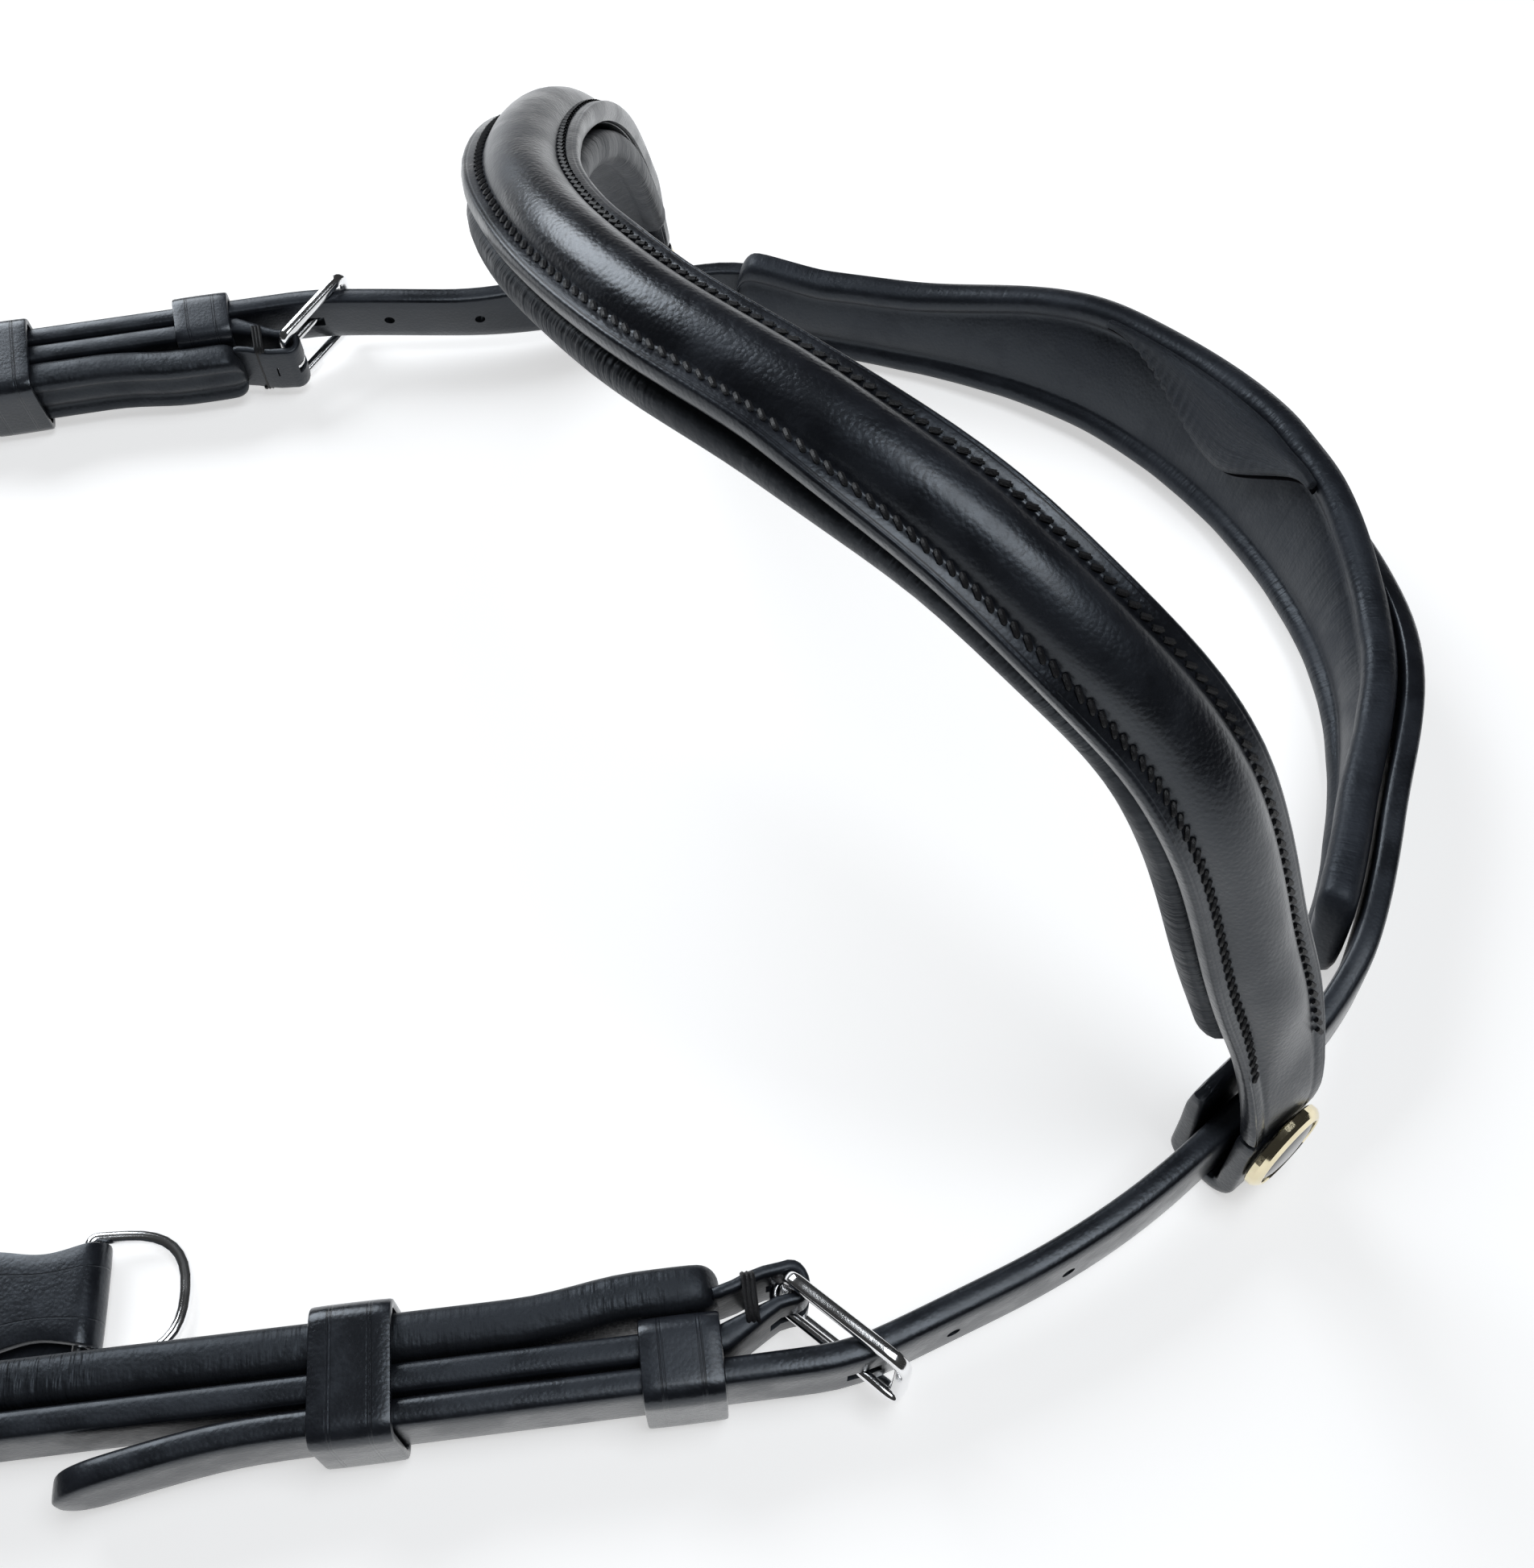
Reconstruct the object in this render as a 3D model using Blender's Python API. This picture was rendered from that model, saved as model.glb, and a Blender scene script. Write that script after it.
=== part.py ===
"""Anatomic bridle lying on a table: headpiece, browband, cheekpieces and noseband. Metres, +Z up."""

import math

import bmesh
import bpy
from mathutils import Matrix, Vector

# Leather stock
gap = 0.0003
strap_width = 0.013
strap_thickness = 0.0045
strap_edge_round = 0.0011
keeper_wall = 0.0016
keeper_width = 0.012
keeper_round = 0.0016

# Headpiece
head_length = 0.3055
head_crown_height = 0.0215
head_lining_height = 0.022
head_lining_poll_height = 0.031
head_lining_thickness = 0.0072
head_lining_start = 0.038
head_lining_end = 0.284
poll_pad_start = 0.135
poll_pad_end = 0.196
poll_pad_thickness = 0.0034

# Cheekpieces and billets, measured from the browband loop towards the bit
loop_to_bend = 0.068
bend_length = 0.012
billet_length = 0.188
billet_spread = 0.0055
billet_spread_start = 0.158
hole_pitch = 0.020
hole_radius = 0.0011
first_hole = 0.038
fixed_keeper_place = 0.0985
runner_place = 0.1455
far_runner_place = 0.1415
cheek_end = 0.300
cheek_lining_start = 0.092
cheek_lining_end = 0.262
cheek_lining_height = 0.0137
cheek_lining_thickness = 0.007
bit_eye_radius = 0.0065
bit_return_start = 0.265
bit_return_thickness = 0.003
bit_keeper_place = 0.277

# Buckles
wire_radius = 0.0011
frame_length = 0.0205
frame_corner = 0.003
frame_angle = 45.0
pivot_place = 0.0815
pivot_inward = 0.0115
eye_clearance = 0.00045
fold_thickness = 0.0020
tongue_radius = 0.0009
tongue_slot = 0.0030
tongue_hole_length = 0.0046
tongue_hole_height = 0.0028
tongue_rise = 0.0004

# Browband
arch_height = 0.117
arch_lean = 30.0
arch_foot = 0.018
band_width = 0.018
band_thickness = 0.0038
band_roll_width = 0.0116
band_roll_height = 0.0034
band_lining_width = 0.0180
band_lining_thickness = 0.0062
loop_width = 0.015
loop_wall = 0.0034
loop_top = 0.020
loop_flap_rise = 0.005
loop_slack = 0.0007
stud_radius = 0.008
stud_bezel_thickness = 0.0024
stud_inlay_radius = 0.0062
stud_inlay_thickness = 0.0016
stud_place = 0.010

# Noseband
nose_width = 0.022
nose_end_width = 0.017
nose_lining_thickness = 0.005
nose_tab_length = 0.024
nose_length = 0.310
nose_start = (-0.129, 0.0860)
ring_length = 0.015
ring_width = 0.0195

# Where the bridle lies: the near loop, the heading there in degrees, and the table's clearance
near_loop_place = (0.0752, 0.1157)
near_loop_heading = 42.0
cheek_rise = 0.0026
loop_rise = loop_wall + gap

# Turns of the laid-out strap in degrees, over equal spans of the headpiece, then over spans to the bit
head_turns = (14, 11, 12, 14, 13, 12, 12, 14, 11, 8, 9, 9)
near_spans_share = ((0.20, -2), (0.25, -8), (0.27, -7), (0.28, 0))
near_bend_turn = -18
far_spans_share = ((0.27, 14), (0.33, -10), (0.40, -4))
far_bend_turn = 12

# The browband's centre line: chord share, height share, depth share and tilt in degrees
arch_shares = (
    (0.000, 0.000, 0.000, 15), (0.004, 0.062, 0.034, 15), (0.025, 0.182, 0.085, 15),
    (0.044, 0.320, 0.118, 15), (0.062, 0.463, 0.159, 16), (0.079, 0.588, 0.187, 18),
    (0.108, 0.681, 0.198, 19), (0.148, 0.789, 0.186, 20), (0.213, 0.880, 0.163, 22),
    (0.278, 0.944, 0.123, 28), (0.330, 0.971, 0.092, 32), (0.405, 1.000, 0.039, 30),
    (0.480, 0.994, 0.008, 28), (0.541, 0.970, -0.006, 32), (0.618, 0.917, -0.006, 34),
    (0.704, 0.820, 0.025, 33), (0.771, 0.711, 0.061, 32), (0.826, 0.583, 0.077, 31),
    (0.884, 0.431, 0.071, 30), (0.937, 0.271, 0.053, 30), (0.978, 0.130, 0.036, 29),
    (1.000, 0.000, 0.000, 27),
)


def clear_scene():
    for thing in list(bpy.data.objects):
        bpy.data.objects.remove(thing)


clear_scene()
scene_root = bpy.context.scene.collection
parts = bpy.data.collections.new("anatomic_bridle")
guides = bpy.data.collections.new("guides")
scene_root.children.link(parts)
scene_root.children.link(guides)
guides.hide_render = True
stand = bpy.data.objects.new("stand", None)
parts.objects.link(stand)


def finish(name, colour, roughness, metallic=0.0):
    made = bpy.data.materials.new(name)
    made.use_nodes = True
    shader = made.node_tree.nodes["Principled BSDF"]
    shader.inputs["Base Color"].default_value = (*colour, 1.0)
    shader.inputs["Roughness"].default_value = roughness
    shader.inputs["Metallic"].default_value = metallic
    return made


bridle_leather = finish("bridle_leather", (0.012, 0.012, 0.014), 0.38)
lining_leather = finish("lining_leather", (0.018, 0.019, 0.021), 0.62)
chrome = finish("chrome", (0.80, 0.81, 0.83), 0.12, 1.0)
gold = finish("gold", (0.86, 0.72, 0.42), 0.18, 1.0)
black_enamel = finish("black_enamel", (0.008, 0.008, 0.010), 0.15)


def add(name, data, material, collection=parts):
    made = bpy.data.objects.new(name, data)
    collection.objects.link(made)
    made.parent = stand
    if material:
        data.materials.append(material)
    if collection is guides:
        made.hide_render = True
        made.display_type = "WIRE"
    return made


def smooth(mesh):
    mesh.shade_smooth()
    mesh.set_sharp_from_angle(angle=math.radians(35))


def ramp(value, low, high):
    """Zero up to low, one from high on, eased between."""
    share = min(max((value - low) / (high - low), 0.0), 1.0)
    return share * share * (3 - 2 * share)


def eased(table, place):
    """The value of a table of (place, value) at a place, eased between its rows."""
    value = table[0][1]
    for (low, _), (high, after) in zip(table, table[1:]):
        value += (after - value) * ramp(place, low, high)
    return value


def spaced(low, high, step):
    count = max(1, round((high - low) / step))
    return [low + (high - low) * i / count for i in range(count + 1)]


# The strap's route over the table: one line from the near bit, over the poll, to the far bit
route_step = 0.002


def walk(place, heading, spans, direction):
    """Rows of (length walked, x, y, heading) along spans of (length, turn)."""
    x, y = place
    walked = 0.0
    rows = [(walked, x, y, heading)]
    for length, turn in spans:
        count = max(2, round(length / route_step))
        for _ in range(count):
            heading += turn / count / 2
            x += direction * length / count * math.cos(math.radians(heading))
            y += direction * length / count * math.sin(math.radians(heading))
            heading += turn / count / 2
            walked += direction * length / count
            rows.append((walked, x, y, heading))
    return rows


def side_spans(shares, bend_turn):
    spans = [(share * loop_to_bend, turn) for share, turn in shares]
    return spans + [(bend_length, bend_turn), (cheek_end - loop_to_bend, 0)]


head_spans = [(head_length / len(head_turns), turn) for turn in head_turns]
near_rows = walk(near_loop_place, near_loop_heading, side_spans(near_spans_share, near_bend_turn), -1)
far_spans = head_spans + side_spans(far_spans_share, far_bend_turn)
far_rows = walk(near_loop_place, near_loop_heading, far_spans, 1)
route = near_rows[:0:-1] + far_rows
route_start = route[0][0]


def route_at(place):
    """(x, y, heading) at a length along the route, measured from the near loop."""
    for (low, x, y, turn), (high, x_on, y_on, turn_on) in zip(route, route[1:]):
        if place <= high:
            break
    share = (place - low) / (high - low)
    return x + (x_on - x) * share, y + (y_on - y) * share, turn + (turn_on - turn) * share


# Lean of the strap about its route, in degrees towards the middle, and how high its lower edge runs
poll_lean = -15.0
side_lean = 6.0
cheek_lean = 14.0
lean_table = (
    (-billet_length, -3), (-fixed_keeper_place, -3), (-loop_to_bend, -2), (-loop_width, 0), (loop_width, 0),
    (head_length / 5, side_lean), (head_length * 0.37, poll_lean), (head_length * 0.62, poll_lean),
    (head_length - loop_width * 3, side_lean), (head_length - loop_width, 0), (head_length + loop_width, 0),
    (head_length + loop_width * 3, cheek_lean), (head_length + fixed_keeper_place, cheek_lean),
)
head_rise = (strap_thickness + gap) * math.sin(math.radians(-poll_lean)) + gap
far_rise = cheek_rise + 0.26 * strap_width
rise_table = (
    (-loop_to_bend, cheek_rise), (-loop_width, loop_rise), (loop_width, loop_rise),
    (head_lining_start, head_rise), (head_length - loop_width * 3, head_rise),
    (head_length - loop_width, loop_rise), (head_length + loop_width, loop_rise),
    (head_length + loop_to_bend, far_rise),
)


def frame_at(place, inward=0.0, height=0.0, turn=0.0):
    """Where a rigid piece sits on the route: X along it, Y towards the middle, Z up the leaning strap."""
    x, y, heading = route_at(place)
    lean = Matrix.Rotation(-math.radians(eased(lean_table, place)), 4, "X")
    put = Matrix.Translation((x, y, eased(rise_table, place)))
    put = put @ Matrix.Rotation(math.radians(heading), 4, "Z") @ lean
    return put @ Matrix.Translation((0, inward, height)) @ Matrix.Rotation(math.radians(turn), 4, "Z")


def guide(name, points, tilts, place=None):
    data = bpy.data.curves.new(name, "CURVE")
    data.dimensions = "3D"
    data.twist_mode = "Z_UP"
    data.use_deform_bounds = False
    data.use_stretch = False
    data.use_radius = False
    line = data.splines.new("POLY")
    line.points.add(len(points) - 1)
    for point, spot, tilt in zip(line.points, points, tilts):
        point.co = (*spot, 1)
        point.tilt = math.radians(tilt)
    made = add(name, data, None, guides)
    if place:
        made.matrix_basis = place
    return made


strap_guide = guide(
    "strap_guide",
    [(x, y, eased(rise_table, place)) for place, x, y, _ in route],
    [-eased(lean_table, place) for place, *_ in route],
)


def follow(thing, line):
    bend = thing.modifiers.new("bend", "CURVE")
    bend.object = line
    bend.deform_axis = "POS_X"


def cut(thing, cutter, operation="DIFFERENCE"):
    made = thing.modifiers.new(cutter.name, "BOOLEAN")
    made.object = cutter
    made.operation = operation


def rounded_section(low, high, bottom, top, radius, steps=2):
    """A rectangle of (across, up) points with round corners."""
    radius = min(radius, 0.49 * (high - low), 0.49 * (top - bottom))
    corners = (
        (high - radius, top - radius, 0), (low + radius, top - radius, 90),
        (low + radius, bottom + radius, 180), (high - radius, bottom + radius, 270),
    )
    points = []
    for across, up, start in corners:
        for i in range(steps + 1):
            angle = math.radians(start + 90 * i / steps)
            points.append((across + radius * math.cos(angle), up + radius * math.sin(angle)))
    return points


def strip(name, centres, sections, material, turn=1, collection=parts):
    """A strap laid flat: a section face drawn out station by station along centres of (x, y)."""
    mesh = bmesh.new()
    face = None
    for i, ((x, y), section) in enumerate(zip(centres, sections)):
        before = Vector(centres[max(i - 1, 0)])
        after = Vector(centres[min(i + 1, len(centres) - 1)])
        ahead = (after - before).normalized() * turn
        spots = [(x - across * ahead.y, y + across * ahead.x, up) for across, up in section]
        if face is None:
            face = mesh.faces.new([mesh.verts.new(spot) for spot in spots])
            continue
        drawn = bmesh.ops.extrude_face_region(mesh, geom=[face])["geom"]
        if i > 1:
            bmesh.ops.delete(mesh, geom=[face], context="FACES_ONLY")
        face = next(item for item in drawn if isinstance(item, bmesh.types.BMFace))
        for vertex, spot in zip(face.verts, spots):
            vertex.co = spot
    bmesh.ops.recalc_face_normals(mesh, faces=mesh.faces[:])
    data = bpy.data.meshes.new(name)
    mesh.to_mesh(data)
    mesh.free()
    smooth(data)
    return add(name, data, material, collection)


def box_cutter(name, size, place):
    mesh = bmesh.new()
    bmesh.ops.create_cube(mesh, size=1.0, matrix=Matrix.Diagonal((*size, 1.0)))
    data = bpy.data.meshes.new(name)
    mesh.to_mesh(data)
    mesh.free()
    made = add(name, data, None, guides)
    made.matrix_basis = place
    return made


def pin(name, radius, length, place, material=None, sides=12, collection=guides, narrow=1.0):
    """A cylinder centred on its place, along its own Z, whose far end may be narrower."""
    mesh = bmesh.new()
    bmesh.ops.create_cone(
        mesh, cap_ends=True, segments=sides, radius1=radius, radius2=radius * narrow, depth=length
    )
    data = bpy.data.meshes.new(name)
    mesh.to_mesh(data)
    mesh.free()
    smooth(data)
    made = add(name, data, material, collection)
    made.matrix_basis = place
    return made


def wire(name, points, radius, material, place, closed=False, resolution=2):
    data = bpy.data.curves.new(name, "CURVE")
    data.dimensions = "3D"
    data.bevel_depth = radius
    data.bevel_resolution = resolution
    data.use_fill_caps = True
    line = data.splines.new("POLY")
    line.points.add(len(points) - 1)
    line.use_cyclic_u = closed
    for point, spot in zip(line.points, points):
        point.co = (*spot, 1)
    line.use_smooth = True
    made = add(name, data, material)
    made.matrix_basis = place
    return made


def round_corners(corners, radii, steps=4):
    """A closed flat outline with each corner turned round."""
    points = []
    for i, (here, radius) in enumerate(zip(corners, radii)):
        before, after = Vector(corners[i - 1]), Vector(corners[(i + 1) % len(corners)])
        here = Vector(here)
        back, on = (before - here).normalized(), (after - here).normalized()
        start, end = here + back * radius, here + on * radius
        for k in range(steps + 1):
            share = k / steps
            points.append((1 - share) ** 2 * start + 2 * share * (1 - share) * here + share * share * end)
    return points


# Headpiece: one long strap that ends in the two billets
def crown_top(place):
    """How tall the strap stands at a place: a billet's width, widening over the head."""
    middle = head_crown_height - strap_width
    table = (
        (loop_width * 0.8, 0.0), (head_lining_start, 0.75), (poll_pad_start * 0.7, 1.0),
        (poll_pad_start * 0.98, 1.0), (poll_pad_start * 1.06, 0.45), (head_length * 0.6, 0.45),
        (head_lining_end, 0.1), (head_length - loop_width * 0.8, 0.0),
    )
    return strap_width + middle * eased(table, place)


billet_tip_shares = ((0.0, 0.30), (0.10, 0.62), (0.25, 0.82), (0.5, 1.0))


def billet_taper(distance):
    """Share of the full width at a distance from the billet's tip."""
    for (low, share), (high, share_on) in zip(billet_tip_shares, billet_tip_shares[1:]):
        if distance <= high * strap_width:
            return share + (share_on - share) * (distance / strap_width - low) / (high - low)
    return 1.0


def crown_inward(place):
    along = max(-place, place - head_length)
    if along > 0:
        return -billet_spread * ramp(along, billet_spread_start, billet_length * 1.08)
    shift = strap_thickness / 2 + gap
    return -shift * ramp(place, loop_width / 2, head_lining_start) * ramp(
        head_length - place, loop_width / 2, head_length - head_lining_end
    )


def crown_strap():
    first, last = -billet_length, head_length + billet_length
    tip_places = [share * strap_width for share, _ in billet_tip_shares]
    middle = spaced(first + tip_places[-1], last - tip_places[-1], 0.42 * strap_width)
    places = [first + d for d in tip_places[:-1]] + middle + [last - d for d in reversed(tip_places[:-1])]
    centres, sections = [], []
    for place in places:
        top = crown_top(place)
        taper = billet_taper(min(place - first, last - place))
        spare = (1 - taper) * strap_width / 2
        centres.append((place - route_start, crown_inward(place)))
        half = strap_thickness / 2
        sections.append(rounded_section(-half, half, spare, top - spare, strap_edge_round, 1))
    return strip("crown_strap", centres, sections, bridle_leather)


crown = crown_strap()


def rolled_section(thickness, low, top, roll, dip, inner=0.0):
    """A lining's section: a flat back, a round roll along each edge and a soft panel between them."""
    high = inner + thickness
    panel = high - dip
    corner = min(roll, 0.49 * thickness)
    return [
        (inner, low + corner), (inner + corner, low), (high - corner, low),
        (high, low + corner), (high, low + roll), (panel, low + 1.6 * roll),
        (panel + dip / 2, (low + top) / 2),
        (panel, top - 1.6 * roll), (high, top - roll), (high, top - corner),
        (high - corner, top), (inner + corner, top), (inner, top - corner),
    ]


lining_roll = 0.0026
lining_dip = 0.0014


def end_shares(place, low, high, length):
    """Share of the full size near a soft piece's two rounded ends."""
    near = min(place - low, high - place) / length
    return 0.62 + 0.38 * math.sqrt(max(0.0, 1 - (1 - min(near, 1.0)) ** 2))


def lining_top(place):
    rise = head_lining_poll_height - head_lining_height
    table = ((poll_pad_start * 0.75, 0.0), (poll_pad_start * 1.05, 0.9), (head_length / 2, 1.0),
             (poll_pad_end, 0.8), (head_length * 0.8, 0.1), (head_lining_end, 0.0))
    return head_lining_height + rise * eased(table, place)


def headpiece_lining():
    places = spaced(head_lining_start, head_lining_end, 0.30 * head_lining_height)
    soft = head_lining_thickness / 2
    places = sorted(set(places + [head_lining_start + soft * 0.4, head_lining_end - soft * 0.4]))
    centres, sections = [], []
    for place in places:
        share = end_shares(place, head_lining_start, head_lining_end, soft)
        top = lining_top(place)
        spare = (1 - share) * top / 4
        centres.append((place - route_start, gap / 2))
        sections.append(rolled_section(
            head_lining_thickness * share, spare, top - spare, lining_roll, lining_dip))
    made = strip("headpiece_lining", centres, sections, lining_leather)
    follow(made, strap_guide)
    return made


headpiece_lining()


def poll_pad():
    """The crescent sewn over the lining's upper edge at the poll."""
    places = spaced(poll_pad_start, poll_pad_end, 0.07 * (poll_pad_end - poll_pad_start))
    centres, sections = [], []
    for place in places:
        share = (place - poll_pad_start) / (poll_pad_end - poll_pad_start)
        belly = eased(((0.0, 0.12), (0.38, 1.0), (1.0, 0.10)), share)
        top = lining_top(place) - lining_roll / 2
        low = top - 0.49 * head_lining_poll_height * belly
        thick = poll_pad_thickness * (0.45 + 0.55 * belly)
        inner = gap / 2 + head_lining_thickness + gap
        centres.append((place - route_start, inner))
        sections.append(rounded_section(0.0, thick, low, top, thick * 0.45, 2))
    made = strip("poll_pad", centres, sections, lining_leather)
    follow(made, strap_guide)


poll_pad()


# The two cheek sides: the same pieces, mirrored along the route
class Side:
    def __init__(self, name, origin, sign, runner):
        self.name = name
        self.origin = origin
        self.sign = sign
        self.runner = runner

    def place(self, along):
        return self.origin + self.sign * along

    def flat(self, along):
        return self.place(along) - route_start


sides = (Side("near", 0.0, -1, runner_place), Side("far", head_length, 1, far_runner_place))
axes = []
cheek_inward = strap_thickness + gap
cheek_face = cheek_inward + strap_thickness / 2
eye_radius = wire_radius + eye_clearance
frame_half_height = strap_width / 2 + gap + wire_radius + gap / 3
mid_height = strap_width / 2


def punch_holes(side):
    """The billet's punched holes, cut while the strap is flat."""
    for i in range(3):
        hole = first_hole + i * hole_pitch + (hole_pitch if i == 2 else 0)
        place = Matrix.Translation((side.flat(hole), 0, mid_height)) @ Matrix.Rotation(math.pi / 2, 4, "X")
        cut(crown, pin(f"{side.name}_hole_{i + 1}", hole_radius, strap_thickness * 3, place, sides=10))


for side in sides:
    punch_holes(side)
follow(crown, strap_guide)


def bit_rows():
    """The strap's end: back from its tip beside the strap, and round the eye that holds the bit."""
    turned = bit_eye_radius + strap_thickness / 2
    beside = cheek_face + gap + bit_return_thickness / 2
    tangent = cheek_inward + turned
    rows = [(bit_return_start, beside, bit_return_thickness)]
    opened = bit_keeper_place + 0.6 * keeper_width
    rows.append((opened, beside, bit_return_thickness))
    for i in range(1, 5):
        share = i / 5
        rows.append((
            opened + (cheek_end - opened) * share,
            beside + (tangent + turned - beside) * ramp(share, 0.0, 1.1),
            bit_return_thickness + (strap_thickness - bit_return_thickness) * share / 2,
        ))
    for i in range(8):
        angle = math.radians(80 - 170 / 7 * i)
        along, inward = turned * math.cos(angle), turned * math.sin(angle)
        rows.append((cheek_end + along, tangent + inward, strap_thickness))
    return rows


def fold_rows():
    """The strap's centre line from the bit's eye up to the buckle's bar, round it and back."""
    turned = eye_radius + fold_thickness / 2
    straight = spaced(cheek_end, fixed_keeper_place + keeper_width, strap_width)[1:]
    rows = [(along, cheek_inward, strap_thickness) for along in straight]
    rows.append((fixed_keeper_place, cheek_inward, strap_thickness))
    reach = pivot_inward - turned - cheek_inward
    low, high = pivot_place + 0.4 * turned, fixed_keeper_place - keeper_width * 0.62
    for along in spaced(high, low, bend_length / 5):
        share = ramp(high - along, 0.0, high - low)
        thick = strap_thickness + (fold_thickness - strap_thickness) * ramp(share, 0.0, 0.7)
        rows.append((along, cheek_inward + reach * share, thick))
    for i in range(1, 8):
        angle = math.radians(-90 + 30 * i)
        rows.append((
            pivot_place - turned * math.cos(angle), pivot_inward + turned * math.sin(angle), fold_thickness))
    back = rows[-1]
    for i in range(1, 4):
        rows.append((back[0] + i * fold_thickness, back[1] - 0.15 * i * fold_thickness, fold_thickness))
    return rows


def cheek_strap(side):
    rows = bit_rows() + fold_rows()
    centres = [(side.flat(along), inward) for along, inward, _ in rows]
    sections = [
        rounded_section(-thick / 2, thick / 2, 0.0, strap_width, min(strap_edge_round, thick / 3), 1)
        for _, _, thick in rows
    ]
    made = strip(f"{side.name}_cheek_strap", centres, sections, bridle_leather)
    slot = Matrix.Translation((side.flat(pivot_place), pivot_inward, mid_height))
    eye_width = eye_radius * 2
    size = (eye_width + fold_thickness * 4, eye_width + fold_thickness * 2.6, tongue_slot)
    slot = slot @ Matrix.Translation((-side.sign * fold_thickness, -fold_thickness * 0.5, 0))
    cut(made, box_cutter(f"{side.name}_fold_slot", size, slot))
    follow(made, strap_guide)


def cheek_lining(side):
    length = 0.5 * cheek_lining_thickness
    places = spaced(cheek_lining_start, cheek_lining_end, 0.55 * cheek_lining_height)
    places = sorted(set(places + [cheek_lining_start + length * s for s in (0.25, 0.6, 1.0)]
                        + [cheek_lining_end - length * s for s in (0.25, 0.6, 1.0)]))
    centres, sections = [], []
    for along in places:
        clear = fixed_keeper_place + 0.6 * keeper_width
        raised = (keeper_wall + gap) * (1 - ramp(along, clear, clear + keeper_width * 1.2))
        share = end_shares(along, cheek_lining_start, cheek_lining_end, length)
        spare = (1 - share) * cheek_lining_height / 3
        centres.append((side.flat(along), cheek_face + gap + raised))
        sections.append(rolled_section(
            cheek_lining_thickness * share, spare, cheek_lining_height - spare, lining_roll, lining_dip / 2))
    made = strip(f"{side.name}_cheek_lining", centres, sections, lining_leather, side.sign)
    follow(made, strap_guide)


def keeper(name, place, low, high, top):
    """A leather loop round everything between low and high, up to top."""
    outer = rounded_section(low - keeper_wall, high + keeper_wall, -gap - keeper_wall, top + keeper_wall,
                            keeper_round + keeper_wall, 3)
    inner = rounded_section(low, high, -gap, top, keeper_round / 2, 2)
    data = bpy.data.curves.new(name, "CURVE")
    data.dimensions = "2D"
    data.fill_mode = "BOTH"
    data.extrude = keeper_width / 2
    for outline in (outer, inner):
        line = data.splines.new("POLY")
        line.points.add(len(outline) - 1)
        line.use_cyclic_u = True
        for point, (across, up) in zip(line.points, outline):
            point.co = (across, up, 0, 1)
    made = add(name, data, bridle_leather)
    upright = Matrix.Rotation(math.pi / 2, 4, "Z") @ Matrix.Rotation(math.pi / 2, 4, "X")
    made.matrix_basis = frame_at(place) @ upright


def buckle(side):
    bar = frame_at(side.place(pivot_place), pivot_inward, mid_height, side.sign * frame_angle)
    half = frame_half_height
    ahead = -side.sign
    corners = [(0, 0, -half), (0, 0, half), (ahead * frame_length, 0, half), (ahead * frame_length, 0, -half)]
    radii = [frame_corner / 2, frame_corner / 2, frame_corner, frame_corner]
    wire(f"{side.name}_buckle_frame", round_corners(corners, radii), wire_radius, chrome, bar,
         closed=True, resolution=1)
    turned = wire_radius + eye_clearance * 0.8 + tongue_radius
    tip = ahead * (frame_length + wire_radius * 2)
    points = [(tip, -turned - tongue_rise, 0), (ahead * frame_length * 0.5, -turned, 0)]
    for i in range(9):
        angle = math.radians(-90 - 33 * i)
        points.append((ahead * turned * math.cos(angle), turned * math.sin(angle), 0))
    wire(f"{side.name}_buckle_tongue", points, tongue_radius, chrome, bar, resolution=1)
    hole = bar @ Matrix.Translation((ahead * frame_length * 0.6, -turned, 0))
    size = (frame_length, tongue_hole_length, tongue_hole_height)
    cut(crown, box_cutter(f"{side.name}_tongue_hole", size, hole))
    axes.append((f"{side.name} buckle axis", bar, 2))


for side in sides:
    cheek_strap(side)
    cheek_lining(side)
    keeper(f"{side.name}_fixed_keeper", side.place(fixed_keeper_place),
           -strap_thickness / 2 - gap, cheek_face + gap, strap_width + gap)
    keeper(f"{side.name}_runner_keeper", side.place(side.runner), -strap_thickness / 2 - gap,
           cheek_face + gap + cheek_lining_thickness + gap, cheek_lining_height + gap)
    keeper(f"{side.name}_bit_keeper", side.place(bit_keeper_place), -strap_thickness / 2 + cheek_inward - gap,
           cheek_face + gap + bit_return_thickness + gap, strap_width + gap)
    buckle(side)
    runner = frame_at(side.place(side.runner), cheek_inward, mid_height)
    axes.append((f"{side.name} keeper slide", runner, 0))


# Browband: an arch between the two loops
def stand_of(side, outward):
    """A point on the outer side of the strap at a loop."""
    return (frame_at(side.origin, -outward)).translation


band_outward = strap_thickness / 2 + loop_slack + band_thickness / 2
near_foot, far_foot = (stand_of(side, band_outward) for side in sides)
near_foot.z = far_foot.z = arch_foot
chord = far_foot - near_foot
along_axis = chord.normalized()
side_axis = Vector((0, 0, 1)).cross(along_axis)
leaning = math.radians(arch_lean)
up_axis = Vector((0, 0, 1)) * math.cos(leaning) + side_axis * math.sin(leaning)
out_axis = along_axis.cross(up_axis)
arch_frame = Matrix((along_axis, up_axis, out_axis)).transposed().to_4x4()
arch_frame.translation = near_foot


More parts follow.
